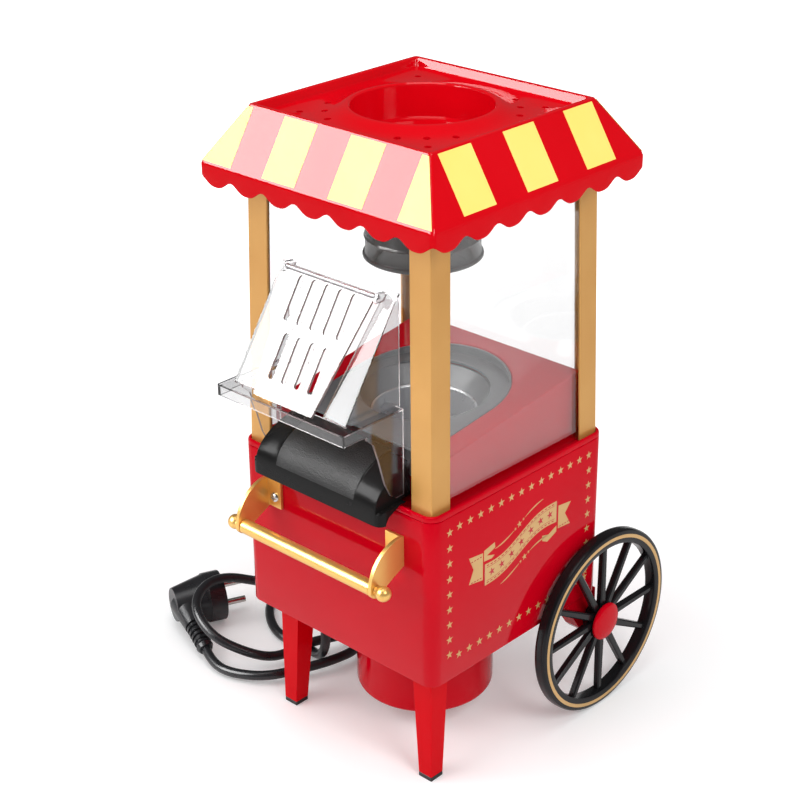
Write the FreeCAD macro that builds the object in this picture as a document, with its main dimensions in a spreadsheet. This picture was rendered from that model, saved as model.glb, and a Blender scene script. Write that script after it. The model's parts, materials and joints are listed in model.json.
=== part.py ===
"""Table-top hot-air popcorn cart: every piece a separate named solid.

Millimetres, +Z up, +X to the right-hand panel, the handle and popcorn chute towards -Y.
The pieces are laid out about the middle of the square base, then moved along Y by
cart_shift, so that the origin lies at the bottom centre of the whole cart's box.
"""

import FreeCAD
import Part
import math
import os
import re

from FreeCAD import Vector

DIMS = {
    # square base
    "base_width": 165.0, "base_bottom": 84.0, "shell_top": 199.3, "tray_top": 203.3,
    "base_corner": 9.0, "base_wall": 2.5, "deck_level": 200.6, "deck_skin": 2.5,
    "floor_skin": 2.5, "wall_gap": 0.2,
    # clear house between four corner posts that lean inwards
    "house_low_half": 78.3, "house_high_half": 74.5, "house_top": 380.0,
    "post_leg": 16.5, "post_skin": 1.6, "pane_skin": 1.5, "pane_inset": 0.3,
    # roof
    "eave_half": 94.6, "eave_level": 387.5, "crown_half": 72.6, "roof_top": 422.6,
    "roof_skin": 2.0, "notch_level": 379.3, "scallop_level": 373.9, "scallop_count": 7,
    "crown_plate_level": 417.0, "crown_lip": 3.4, "well_radius": 43.0, "well_floor": 399.0,
    "vent_radius": 2.2, "vent_outer": 51.5, "vent_middle": 41.0, "vent_inner": 28.0,
    # black deflector below the well
    "deflector_radius": 35.7, "deflector_flange": 37.4, "deflector_bottom": 326.0,
    "deflector_skin": 1.5,
    # hood in front of the house
    "hood_half": 47.0, "hood_top": 334.0, "slope_foot_y": -116.7, "slope_foot_z": 265.6,
    "lip_half": 53.4, "lip_front_y": -125.0, "lip_top": 264.4, "lip_bottom": 257.0,
    "hood_skin": 1.6, "opening_top_half": 37.0, "opening_foot_half": 28.0,
    "flap_top_half": 36.4, "flap_foot_half": 24.5, "flap_foot_y": -121.8, "flap_foot_z": 265.4,
    "flap_axis_y": -79.6, "flap_axis_z": 331.6, "rod_radius": 0.9, "slot_half_width": 2.0,
    "slot_pitch": 11.0,
    # chute
    "chute_half": 56.2, "chute_neck_half": 51.6, "chute_front_y": -99.0,
    # front legs and feet
    "leg_inset": 14.5, "leg_foot": 11.0, "leg_head": 16.5, "pad_height": 3.0,
    # axle and wheels
    "axle_y": 77.0, "wheel_radius": 65.1, "rim_inner": 55.4, "wheel_outer_x": 94.0,
    "rim_width": 9.0, "hub_radius": 11.0, "hub_inner_x": 82.6, "axle_radius": 3.0,
    "running_gap": 0.05, "spoke_count": 12, "hub_cap_radius": 13.2, "hub_cap_height": 3.4,
    "bracket_inner_x": 68.0, "bracket_outer_x": 80.5, "bracket_nose": 12.0,
    # push handle
    "handle_y": -106.6, "handle_z": 157.5, "handle_radius": 4.7, "bracket_in_x": 57.0,
    "bracket_out_x": 59.6, "finial_x": 65.2, "finial_radius": 4.9, "stud_radius": 2.3,
    "flange_inner_x": 46.0, "flange_skin": 2.0, "handle_screw_x": 51.4, "handle_screw_z": 171.2,
    # popping chamber and its cover
    "cover_half": 70.0, "cover_front_y": -64.0, "cover_middle": 236.5, "cover_slope": 0.125,
    "tray_middle": 234.2, "tray_slope": 0.06, "cover_skin": 2.0, "mouth_radius": 54.5,
    "mouth_y": 2.0, "chamber_radius": 34.0,
    "chamber_bottom": 150.0, "chamber_top": 223.0, "chamber_skin": 1.0,
    "duct_radius": 37.0, "duct_bottom": 98.0,
    # fan housing below the base
    "drum_radius": 46.3, "drum_bottom": 18.0, "drum_skin": 2.0, "drum_flange": 52.0,
    "impeller_radius": 34.0, "impeller_low": 40.0, "impeller_high": 58.0, "blade_count": 8,
    "motor_radius": 13.0, "motor_low": 62.0, "motor_high": 92.0, "shaft_radius": 1.2,
    # switch on the back
    "switch_x": -38.0, "switch_z": 140.0, "rocker_length": 18.0, "rocker_width": 10.0,
    # mains lead
    "cord_radius": 3.4, "gland_x": -62.5, "gland_y": -33.5, "gland_foot": 56.0,
}

HINTS = {"plane_x": "YZ_Plane", "plane_y": "XZ_Plane", "plane_z": "XY_Plane"}
ALIAS = re.compile(r"\b[a-z]+(?:_[a-z]+)+\b")
SIDES = {"left": -1, "right": 1}

doc = FreeCAD.newDocument("popcorn_cart")
sheet = doc.addObject("Spreadsheet::Sheet", "Dims")
nodes = {}


def fill_sheet():
    """Put every driving dimension in the sheet, with the shift that centres the cart."""
    cells = dict(DIMS)
    cells["cart_shift"] = -(DIMS["axle_y"] + DIMS["wheel_radius"] + DIMS["lip_front_y"]) / 2
    for row, (name, value) in enumerate(cells.items(), start=1):
        sheet.set(f"A{row}", name)
        sheet.set(f"B{row}", repr(value))
        sheet.setAlias(f"B{row}", name)
    doc.recompute()


def dim(name):
    """One driving dimension, read from the sheet."""
    return float(sheet.get(name))


def cells(text):
    """Point each alias in an expression at the sheet."""
    return ALIAS.sub(r"Dims.\g<0>", str(text))


def bind(item, **settings):
    """Bind properties to expressions; a double underscore stands for a dot."""
    for key, text in settings.items():
        item.setExpression(key.replace("__", "."), cells(text))


# ---------------------------------------------------------------- building blocks

TURNS = {
    "z": FreeCAD.Rotation(),
    "x": FreeCAD.Rotation(Vector(0, 1, 0), 90),
    "y": FreeCAD.Rotation(Vector(1, 0, 0), -90),
}


def seat(item, x, y, z, axis="z"):
    """Place an item by three expressions and the axis it stands along."""
    item.Placement = FreeCAD.Placement(Vector(), TURNS[axis])
    bind(item, Placement__Base__x=x, Placement__Base__y=y, Placement__Base__z=z)
    item.addProperty("App::PropertyString", "SeatY")
    item.SeatY = str(y)
    return item


def box(name, x, y, z, size_x, size_y, size_z):
    """Box from its low corner."""
    item = doc.addObject("Part::Box", name)
    bind(item, Length=size_x, Width=size_y, Height=size_z)
    return seat(item, x, y, z)


def cylinder(name, x, y, z, radius, height, axis="z"):
    """Cylinder from its low end, along an axis."""
    item = doc.addObject("Part::Cylinder", name)
    bind(item, Radius=radius, Height=height)
    return seat(item, x, y, z, axis)


def cone(name, x, y, z, radius_low, radius_high, height, axis="z"):
    """Cone from its low end, along an axis."""
    item = doc.addObject("Part::Cone", name)
    bind(item, Radius1=radius_low, Radius2=radius_high, Height=height)
    return seat(item, x, y, z, axis)


def sphere(name, x, y, z, radius):
    """Ball about its centre."""
    item = doc.addObject("Part::Sphere", name)
    bind(item, Radius=radius)
    return seat(item, x, y, z)


def wedge(name, low, high, z_low, z_high):
    """Upright block whose foot and head are the rectangles (x0, x1, y0, y1)."""
    item = doc.addObject("Part::Wedge", name)
    bind(item, Ymin=0, Ymax=f"({z_high}) - ({z_low})",
         Xmin=low[0], Xmax=low[1], Zmin=f"-({low[3]})", Zmax=f"-({low[2]})",
         X2min=high[0], X2max=high[1], Z2min=f"-({high[3]})", Z2max=f"-({high[2]})")
    item.Placement = FreeCAD.Placement(Vector(), FreeCAD.Rotation(Vector(1, 0, 0), 90))
    bind(item, Placement__Base__z=z_low)
    item.addProperty("App::PropertyString", "SeatY")
    item.SeatY = "0"
    return item


def fuse(name, items):
    """Union of items."""
    joined = doc.addObject("Part::MultiFuse", name)
    joined.Shapes = items
    joined.Refine = True
    return joined


def cut(name, base, tools):
    """Base less one tool or several."""
    less = doc.addObject("Part::Cut", name)
    less.Base = base
    less.Tool = tools[0] if len(tools) == 1 else fuse(name + "_tools", tools)
    less.Refine = True
    return less


def outline(points):
    """Closed outline as lines; a third number on a point rounds that corner."""
    count = len(points)
    ends = []
    edges = []
    for index, point in enumerate(points):
        here = Vector(point[0], point[1], 0)
        radius = point[2] if len(point) > 2 else 0
        if not radius:
            ends.append((here, here))
            continue
        before = Vector(*points[index - 1][:2], 0) - here
        after = Vector(*points[(index + 1) % count][:2], 0) - here
        half = before.getAngle(after) / 2
        reach = radius / math.tan(half)
        start = here + before.normalize() * reach
        stop = here + after.normalize() * reach
        bisector = (before + after).normalize()
        middle = here + bisector * (radius / math.sin(half) - radius)
        edges.append(Part.Arc(start, middle, stop))
        ends.append((start, stop))
    for index in range(count):
        start, stop = ends[index][1], ends[(index + 1) % count][0]
        if start.distanceToPoint(stop) > 1e-6:
            edges.append(Part.LineSegment(start, stop))
    return edges


def ring(centre, radius):
    """Circle for a sketch."""
    return [Part.Circle(Vector(centre[0], centre[1], 0), Vector(0, 0, 1), radius)]


def sketch_on(body, plane, level, edges):
    """Sketch on one of the body's own origin planes, moved to a level along its axis."""
    sketch = body.newObject("Sketcher::SketchObject", body.Name + "_sketch")
    support = next(f for f in body.Origin.OriginFeatures if f.Role == HINTS[plane])
    sketch.AttachmentSupport = [(support, "")]
    sketch.MapMode = "FlatFace"
    level = f"-({level})" if plane == "plane_y" else level
    sketch.setExpression("AttachmentOffset.Base.z", cells(level))
    for edge in edges:
        sketch.addGeometry(edge, False)
    return sketch


def pad(body, plane, level, depth, edges):
    """Pad a sketch in a body; along -Y for plane_y, +X and +Z for the others."""
    feature = body.newObject("PartDesign::Pad", body.Name + "_pad")
    feature.Profile = sketch_on(body, plane, level, edges)
    bind(feature, Length=depth)
    body.Tip = feature
    return feature


def padded(name, plane, level, depth, edges):
    """Body of one pad."""
    body = doc.addObject("PartDesign::Body", name)
    pad(body, plane, level, depth, edges)
    return body


def feature(name, shape):
    """Object for a shape made in code from the sheet's values."""
    item = doc.addObject("Part::Feature", name)
    item.Shape = shape
    return item


def node(item, label):
    """Name a finished piece and move it with the whole cart."""
    item.Label = label
    own_y = item.SeatY if "SeatY" in item.PropertiesList else "0"
    bind(item, Placement__Base__y=f"({own_y}) + cart_shift")
    nodes[label] = item
    return item


# ---------------------------------------------------------------- base

def square(half, corner):
    """Rounded square outline about the middle."""
    return outline([(-half, -half, corner), (half, -half, corner),
                    (half, half, corner), (-half, half, corner)])


def make_base():
    """Open-ended shell, the tray on top of it, and the floor inside its foot."""
    half = dim("base_width") / 2
    corner = dim("base_corner")
    wall = dim("base_wall")
    gap = dim("wall_gap")
    height = "shell_top - base_bottom"
    outer = padded("shell_outer", "plane_z", "base_bottom", height, square(half, corner))
    inner = padded("shell_inner", "plane_z", "base_bottom", height,
                   square(half - wall, corner - wall))
    holes = [inner]
    for side, sign in SIDES.items():
        holes.append(cylinder(f"shell_screw_hole_{side}", f"{sign} * handle_screw_x",
                              "-base_width / 2 - 1", "handle_screw_z", "1.7", "base_wall + 2", "y"))
    holes.append(box("shell_switch_hole", "switch_x - 7", "base_width / 2 - base_wall - 1",
                     "switch_z - 11", "14", "base_wall + 2", "22"))
    node(cut("shell_body", outer, holes), "base_shell")

    skirt = padded("tray_skirt", "plane_z", "deck_level - deck_skin", "deck_skin",
                   square(half - wall - gap, corner - wall - gap))
    rim = padded("tray_rim", "plane_z", "shell_top", "tray_top - shell_top",
                 square(half, corner))
    recess = padded("tray_recess", "plane_z", "deck_level", "tray_top - deck_level",
                    square(half - wall, corner - wall))
    opening = cylinder("tray_opening", "0", "0", "deck_level - deck_skin - 1",
                       "mouth_radius", "deck_skin + 2")
    node(cut("tray_body", fuse("tray_solid", [skirt, rim]), [recess, opening]), "top_tray")

    plate = padded("floor_plate", "plane_z", "base_bottom", "floor_skin",
                   square(half - wall - gap, corner - wall - gap))
    floor_holes = [
        cylinder("floor_drum_hole", "0", "0", "base_bottom - 1", "drum_radius + wall_gap",
                 "floor_skin + 2"),
        cylinder("floor_gland_hole", "gland_x", "gland_y", "base_bottom - 1", "6.2",
                 "floor_skin + 2"),
    ]
    screw_reach = half - 21
    heads = []
    for index, (sx, sy) in enumerate(((-1, -1), (1, -1), (-1, 0.6), (1, 0.6))):
        x, y = f"{sx * screw_reach}", f"{sy * screw_reach}"
        floor_holes.append(cylinder(f"floor_screw_hole_{index}", x, y, "base_bottom - 1",
                                    "1.9", "floor_skin + 2"))
        heads.append(screw(f"floor_screw_{index}", x, y, "base_bottom + floor_skin", 7.0))
    node(cut("floor_body", plate, floor_holes), "base_floor")
    node(group("floor_screw_group", heads), "floor_screws")


def group(name, items):
    """Several separate solids of one node."""
    joined = doc.addObject("Part::Compound", name)
    joined.Links = items
    return joined


def screw(name, x, y, z, length):
    """Pan-head screw standing on z, its shank pointing down."""
    head = cylinder(name + "_head", x, y, z, "3.1", "1.8")
    shank = cylinder(name + "_shank", x, y, f"({z}) - {length}", "1.6", f"{length} + 0.4")
    body = fuse(name + "_solid", [head, shank])
    slot_z = f"({z}) + 1.0"
    slot_x = box(name + "_slot_x", f"({x}) - 1.7", f"({y}) - 0.35", slot_z, "3.4", "0.7", "1")
    slot_y = box(name + "_slot_y", f"({x}) - 0.35", f"({y}) - 1.7", slot_z, "0.7", "3.4", "1")
    return cut(name + "_cut", body, [slot_x, slot_y])


# ---------------------------------------------------------------- house

def lean_at(level):
    """Half width of the leaning house at a height."""
    share = (level - dim("deck_level")) / (dim("house_top") - dim("deck_level"))
    return dim("house_low_half") + share * (dim("house_high_half") - dim("house_low_half"))


def mirrored(sign, near, far):
    """Expressions of an interval near..far measured outwards on the side of sign."""
    return (near, far) if sign > 0 else (f"-({far})", f"-({near})")


def make_posts():
    """Four corner posts, each an angle with one leg on each outer face."""
    for end, end_sign in (("front", -1), ("back", 1)):
        for side, sign in SIDES.items():
            name = f"post_{end}_{side}"
            legs = []
            for leg in ("x", "y"):
                spans = []
                for half in ("house_low_half", "house_high_half"):
                    long_span = (f"{half} - post_leg", half)
                    short_span = (f"{half} - post_skin", half)
                    x_span = short_span if leg == "x" else long_span
                    y_span = long_span if leg == "x" else short_span
                    spans.append((*mirrored(sign, *x_span), *mirrored(end_sign, *y_span)))
                legs.append(wedge(f"{name}_leg_{leg}", spans[0], spans[1],
                                  "deck_level", "house_top"))
            node(fuse(name + "_angle", legs), name)


def make_windows():
    """Clear panes on the left, right and back, inside the posts' legs."""
    spans = {}
    for half in ("house_low_half", "house_high_half"):
        outer = f"{half} - post_skin - pane_inset"
        inner = f"{outer} - pane_skin"
        free = f"{half} - post_skin - pane_inset - pane_skin - 0.3"
        spans[half] = (inner, outer, free)
    for side, sign in SIDES.items():
        panes = []
        for half in spans:
            inner, outer, free = spans[half]
            panes.append((*mirrored(sign, inner, outer), f"-({free})", free))
        pane = wedge(f"pane_{side}", panes[0], panes[1], "deck_level + 0.1", "house_top - 0.1")
        node(pane, f"window_{side}")
    panes = []
    for half in spans:
        inner, outer, free = spans[half]
        panes.append((f"-({free})", free, inner, outer))
    node(wedge("pane_back", panes[0], panes[1], "deck_level + 0.1", "house_top - 0.1"),
         "window_back")


def slab(points, x_low, x_high):
    """Prism of a (y, z) polygon between two x."""
    corners = [Vector(x_low, y, z) for y, z in points]
    face = Part.Face(Part.makePolygon(corners + corners[:1]))
    return face.extrude(Vector(x_high - x_low, 0, 0))


def trapezium(half_top, half_foot, top, foot, offset, depth):
    """Plate whose middle line runs from top to foot, (y, z) each, offset along its normal."""
    run = Vector(0, foot[0] - top[0], foot[1] - top[1])
    normal = Vector(0, run.z, -run.y).normalize()
    lift = normal * offset
    ends = [Vector(-half_top, *top), Vector(half_top, *top),
            Vector(half_foot, *foot), Vector(-half_foot, *foot)]
    ends = [corner + lift for corner in ends]
    face = Part.Face(Part.makePolygon(ends + ends[:1]))
    return face.extrude(normal * depth), run, normal


def make_hood():
    """Clear front pane, and the hood: sloping frame, cheeks, tray lip and side tongues."""
    skin = dim("hood_skin")
    half = dim("hood_half")
    lip = dim("lip_half")
    top = (-lean_at(dim("hood_top")) + dim("post_skin") + 0.3 + skin, dim("hood_top"))
    foot = (dim("slope_foot_y"), dim("slope_foot_z"))
    slope, run, normal = trapezium(half, half, top, foot, -skin, skin)
    window, _, _ = trapezium(dim("opening_top_half"), dim("opening_foot_half"),
                             point_on(top, foot, 0.03), point_on(top, foot, 1.05), -2 * skin,
                             4 * skin)
    slope = slope.cut(window)

    back_low = -lean_at(dim("deck_level")) + dim("post_skin") + 0.3
    back_high = -lean_at(dim("house_top")) + dim("post_skin") + 0.3
    free = dim("house_high_half") - dim("post_skin") - 2 * dim("pane_skin") - 1.2
    pane = slab([(back_low, dim("deck_level") + 0.1), (back_high, dim("house_top") - 0.1),
                 (back_high + skin, dim("house_top") - 0.1),
                 (back_low + skin, dim("deck_level") + 0.1)], -free, free)
    doorway = Part.makeBox(2 * lip, 12, dim("hood_top") + 0.8 - dim("deck_level") + 2,
                           Vector(-lip, back_low - 4, dim("deck_level") - 2))
    node(feature("front_pane_shape", pane.cut(doorway)), "window_front")

    ledge_z = dim("lip_top")
    cheek_points = [(back_high + 1.2, dim("hood_top") - 1), top, foot,
                    (dim("slope_foot_y"), ledge_z - skin), (back_high + 1.2, ledge_z - skin)]
    tongue = [(-106.0, ledge_z - 2), (-106.0, 254.6), (-100.3, 249.3), (-96.4, 238.0),
              (-91.4, 220.5), (-86.6, 211.0), (-82.0, 208.0), (-75.4, 208.0),
              (-75.4, ledge_z - 2)]
    parts = [slope]
    for sign in (-1, 1):
        parts.append(slab(cheek_points, sign * half, sign * (half - skin)))
        parts.append(slab(tongue, sign * lip, sign * (lip - skin)))
        parts.append(slab([(dim("lip_front_y"), ledge_z), (dim("lip_front_y"), dim("lip_bottom")),
                           (-75.4, dim("lip_bottom")), (-75.4, ledge_z)],
                          sign * lip, sign * (lip - skin)))
        parts.append(Part.makeBox(lip - half + skin, -75.4 - dim("lip_front_y"), skin,
                                  Vector(min(sign * lip, sign * (half - skin)),
                                         dim("lip_front_y"), ledge_z - skin)))
    parts.append(Part.makeBox(2 * lip, skin, ledge_z - dim("lip_bottom"),
                              Vector(-lip, dim("lip_front_y"), dim("lip_bottom"))))
    parts.append(Part.makeBox(2 * lip, dim("slope_foot_y") + 1.5 - dim("lip_front_y"), skin,
                              Vector(-lip, dim("lip_front_y"), ledge_z - skin)))
    for sign in (-1, 1):
        inner = sign * (dim("flap_top_half") + 0.5)
        parts.append(slab([(-83.0, 328.5), (-75.0, 328.5), (-72.8, 333.0), (-80.4, 334.2)],
                          inner, inner + sign * 2.5))
    hood = parts[0].multiFuse(parts[1:]).removeSplitter()
    rod_hole = Part.makeCylinder(dim("rod_radius"), 2 * lip,
                                 Vector(-lip, dim("flap_axis_y"), dim("flap_axis_z")),
                                 Vector(1, 0, 0))
    node(feature("hood_shape", hood.cut(rod_hole)), "front_hood")
    rod_half = dim("flap_top_half") + 3.0
    node(cylinder("hinge_rod", f"-{rod_half}", "flap_axis_y", "flap_axis_z", "rod_radius",
                  f"2 * {rod_half}", "x"), "flap_hinge_rod")


def point_on(start, end, share):
    """Point part of the way along a (y, z) line."""
    return tuple(a + (b - a) * share for a, b in zip(start, end))


def make_flap():
    """Slotted plate hung from the rod, its foot resting on the hood's tray."""
    axis = (dim("flap_axis_y"), dim("flap_axis_z"))
    foot = (dim("flap_foot_y"), dim("flap_foot_z"))
    skin = dim("hood_skin")
    plate, run, normal = trapezium(dim("flap_top_half"), dim("flap_foot_half"), axis, foot,
                                   -skin / 2, skin)
    knuckle = Part.makeCylinder(1.9, 2 * dim("flap_top_half"),
                                Vector(-dim("flap_top_half"), *axis), Vector(1, 0, 0))
    along = Vector(run).normalize()
    slots = []
    half = dim("slot_half_width")
    for count, start, stop in ((5, 2.6, 31.2), (4, 37.7, 66.5)):
        for index in range(count):
            x = (index - (count - 1) / 2) * dim("slot_pitch")
            base = Vector(x, *axis) - normal * 3
            low, high = base + along * (start + half), base + along * (stop - half)
            side = Vector(half, 0, 0)
            slots += [Part.makeCylinder(half, 6, low, normal),
                      Part.makeCylinder(half, 6, high, normal),
                      Part.Face(Part.makePolygon([low - side, low + side, high + side,
                                                  high - side, low - side])).extrude(normal * 6)]
    flap = plate.fuse(knuckle).cut(slots[0].multiFuse(slots[1:])).removeSplitter()
    bore = Part.makeCylinder(dim("rod_radius") + dim("running_gap"), 200, Vector(-100, *axis),
                             Vector(1, 0, 0))
    node(feature("flap_shape", flap.cut(bore)), "hood_flap")


# ---------------------------------------------------------------- roof

def frustum(half_low, half_high, low, high):
    """Square frustum about the middle."""
    rings = []
    for half, level in ((half_low, low), (half_high, high)):
        corners = [Vector(sx * half, sy * half, level)
                   for sx, sy in ((-1, -1), (1, -1), (1, 1), (-1, 1))]
        rings.append(Part.makePolygon(corners + corners[:1]))
    return Part.makeLoft(rings, True, True)


def valance_side():
    """One scalloped strip along +X, its outer face on the eave's line at -Y."""
    half = dim("eave_half")
    skin = dim("roof_skin")
    pitch = 2 * half / dim("scallop_count")
    notch, low = dim("notch_level"), dim("scallop_level")
    depth = -half
    edges = [Part.LineSegment(Vector(half, depth, notch), Vector(half, depth, dim("eave_level"))),
             Part.LineSegment(Vector(half, depth, dim("eave_level")),
                              Vector(-half, depth, dim("eave_level"))),
             Part.LineSegment(Vector(-half, depth, dim("eave_level")),
                              Vector(-half, depth, notch))]
    for index in range(int(dim("scallop_count"))):
        start = -half + index * pitch
        edges.append(Part.Arc(Vector(start, depth, notch), Vector(start + pitch / 2, depth, low),
                              Vector(start + pitch, depth, notch)))
    wire = Part.Wire(Part.__sortEdges__([edge.toShape() for edge in edges]))
    return Part.Face(wire).extrude(Vector(0, skin, 0))


def make_roof():
    """Hip roof with a recessed crown, a round well, vent holes and a scalloped valance."""
    skin = dim("roof_skin")
    eave, crown = dim("eave_half"), dim("crown_half")
    low, top = dim("eave_level"), dim("roof_top")
    shell = frustum(eave, crown, low, top)
    shell = shell.cut(frustum(eave - skin, crown - skin, low - 0.01, top - skin - 0.6))
    plate_top = dim("crown_plate_level")
    recess_half = crown - dim("crown_lip")
    shell = shell.cut(frustum(recess_half - 1, recess_half, plate_top, top + 0.01))
    inner_half = eave - skin - (eave - crown) * (plate_top - skin - low) / (top - low)
    shell = shell.fuse(frustum(inner_half, inner_half - 1, plate_top - skin, plate_top))
    well = dim("well_radius")
    floor = dim("well_floor")
    boss = Part.makeCylinder(well + skin, plate_top - floor + skin, Vector(0, 0, floor - skin))
    collar = Part.makeCone(well + 9, well + 2.5, 3.6, Vector(0, 0, plate_top))
    shell = shell.fuse([boss, collar])
    shell = shell.cut(Part.makeCylinder(well, top - floor, Vector(0, 0, floor)))
    outer, middle, inner = dim("vent_outer"), dim("vent_middle"), dim("vent_inner")
    for sx in (-1, 1):
        for sy in (-1, 1):
            for x, y in ((inner, outer), (middle, middle), (outer, inner), (outer, outer)):
                foot = Vector(sx * x, sy * y, plate_top - 4)
                shell = shell.cut(Part.makeCylinder(dim("vent_radius"), 8, foot))
    rib_half = dim("house_high_half")
    rib = frustum(rib_half + 2, rib_half + 2, dim("house_top") + 0.3, low + 30)
    rib = rib.cut(frustum(rib_half - 2, rib_half - 2, dim("house_top"), low + 31))
    rib = rib.common(frustum(eave - 1, crown - 1, low, top - 1).fuse(
        frustum(eave - 1, eave - 1, dim("house_top"), low)))
    shell = shell.fuse(rib)
    strip = valance_side()
    for turn in range(4):
        side = strip.copy()
        side.rotate(Vector(), Vector(0, 0, 1), 90 * turn)
        shell = shell.fuse(side)
    node(feature("roof_shape", shell.removeSplitter()), "roof_canopy")


def make_deflector():
    """Black tube under the well, open below, hung from the well's floor by screws."""
    tube = cylinder("deflector_tube", "0", "0", "deflector_bottom", "deflector_radius",
                    "well_floor - roof_skin - 0.1 - deflector_bottom")
    flange = cylinder("deflector_foot", "0", "0", "deflector_bottom", "deflector_flange", "2.4")
    bead = cylinder("deflector_bead", "0", "0", "deflector_bottom + 13", "deflector_radius + 0.5",
                    "1.2")
    hollow = cylinder("deflector_hollow", "0", "0", "deflector_bottom - 1",
                      "deflector_radius - deflector_skin",
                      "well_floor - roof_skin - deflector_bottom - 1.1")
    holes = [hollow]
    heads = []
    for index in range(3):
        angle = math.radians(90 + 120 * index)
        x, y = f"{24 * math.cos(angle):.3f}", f"{24 * math.sin(angle):.3f}"
        holes.append(cylinder(f"deflector_hole_{index}", x, y, "well_floor - roof_skin - 5",
                              "1.7", "6"))
        heads.append(cylinder(f"deflector_screw_{index}", x, y,
                              "well_floor - roof_skin - 4.2", "3.0", "1.9"))
    solid = fuse("deflector_solid", [tube, flange, bead])
    node(cut("deflector_body", solid, holes), "popcorn_deflector")
    node(group("deflector_screw_group", heads), "deflector_screws")


# ---------------------------------------------------------------- chute and chamber

def make_chute():
    """Black slide over the front rim, with a broad front bumper and a narrower neck."""
    front = dim("chute_front_y")
    bumper = [(front, 194.6), (front, 208.6), (-96.2, 214.6), (-91.5, 219.0), (-91.5, 199.6),
              (-94.5, 196.4)]
    neck = [(-91.6, 199.5), (-91.6, 218.9), (-84.6, 224.6), (-75.0, 227.6), (-66.4, 228.4),
            (-66.4, 204.6), (-82.0, 204.6)]
    hollow = [(-96.8, 190.0), (-96.8, 207.6), (-94.2, 212.6), (-90.0, 216.6), (-83.6, 221.8),
              (-74.6, 225.2), (-68.4, 226.0), (-68.4, 190.0)]
    solid = slab(bumper, -dim("chute_half"), dim("chute_half"))
    solid = solid.fuse(slab(neck, -dim("chute_neck_half"), dim("chute_neck_half")))
    inner = dim("chute_neck_half") - 2.5
    solid = solid.cut(slab(hollow, -inner, inner)).removeSplitter()
    node(feature("chute_shape", solid), "chute_deck")


def u_plan(radius, front, level, height):
    """Upright U-shaped block: a half round at the back and straight sides to the front."""
    centre = dim("mouth_y")
    round_end = Part.makeCylinder(radius, height, Vector(0, centre, level))
    straight = Part.makeBox(2 * radius, centre - front, height, Vector(-radius, front, level))
    return round_end.fuse(straight)


def above(middle, slope):
    """Block of everything above the plane z = middle + slope y."""
    reach = 120.0
    return slab([(-reach, middle - slope * reach), (reach, middle + slope * reach),
                 (reach, 400), (-reach, 400)], -reach, reach)


def make_chamber():
    """Red cover, dark tray round the mouth, and the metal popping cup below it."""
    half, skin = dim("cover_half"), dim("cover_skin")
    front, floor = dim("cover_front_y"), dim("deck_level") + 0.1
    middle, slope = dim("cover_middle"), dim("cover_slope")
    mouth, mouth_y = dim("mouth_radius"), dim("mouth_y")
    tall = 60
    block = Part.makeBox(2 * half, half - front, tall, Vector(-half, front, floor))
    inner = Part.makeBox(2 * (half - skin), half - front - 2 * skin, tall,
                         Vector(-half + skin, front + skin, floor - 1))
    cover = block.cut(above(middle, slope)).cut(inner.cut(above(middle - skin, slope)))
    cover = cover.cut(u_plan(mouth, front - 5, floor + 12, 60))
    node(feature("cover_shape", cover.removeSplitter()), "chamber_cover")

    level, tilt = dim("tray_middle"), dim("tray_slope")
    sheet_skin, well_top, cup = 1.5, dim("chamber_top"), dim("chamber_radius")
    plan = u_plan(mouth - 0.3, front + 2.5, floor + 10, 60)
    tray = plan.common(above(level - sheet_skin, tilt)).cut(above(level, tilt))
    wall = plan.cut(u_plan(mouth - 1.8, front - 9, floor + 9, 62))
    wall = wall.common(above(level - sheet_skin, tilt)).cut(above(middle - 0.3, slope))
    funnel = Part.makeCone(cup + 1.2, cup + 9, 12, Vector(0, 0, well_top - 1))
    funnel = funnel.cut(Part.makeCone(cup + 0.1, cup + 7.9, 12, Vector(0, 0, well_top - 1)))
    funnel = funnel.cut(above(level, tilt))
    mouth_hole = Part.makeCone(cup + 0.7, cup + 8.5, 12, Vector(0, 0, well_top - 1))
    mouth_hole = mouth_hole.fuse(Part.makeCylinder(cup + 8.4, 20, Vector(0, 0, well_top + 10.9)))
    tray = tray.cut(mouth_hole).fuse([wall, funnel]).removeSplitter()
    node(feature("tray_shape", tray), "chamber_tray")

    radius, wall_skin = dim("chamber_radius"), dim("chamber_skin")
    bottom, top = dim("chamber_bottom"), dim("chamber_top") - 1.1
    cup = Part.makeCylinder(radius, top - bottom, Vector(0, 0, bottom))
    cup = cup.cut(Part.makeCylinder(radius - wall_skin, top - bottom,
                                    Vector(0, 0, bottom + wall_skin)))
    for index in range(16):
        slot = Part.makeBox(6, 2.2, 9, Vector(radius - 3, -1.1, bottom + 3))
        slot.rotate(Vector(radius, 0, bottom + 7.5), Vector(1, 0, 0), 25)
        slot.rotate(Vector(), Vector(0, 0, 1), 22.5 * index)
        cup = cup.cut(slot)
    node(feature("cup_shape", cup), "popping_chamber")


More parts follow.
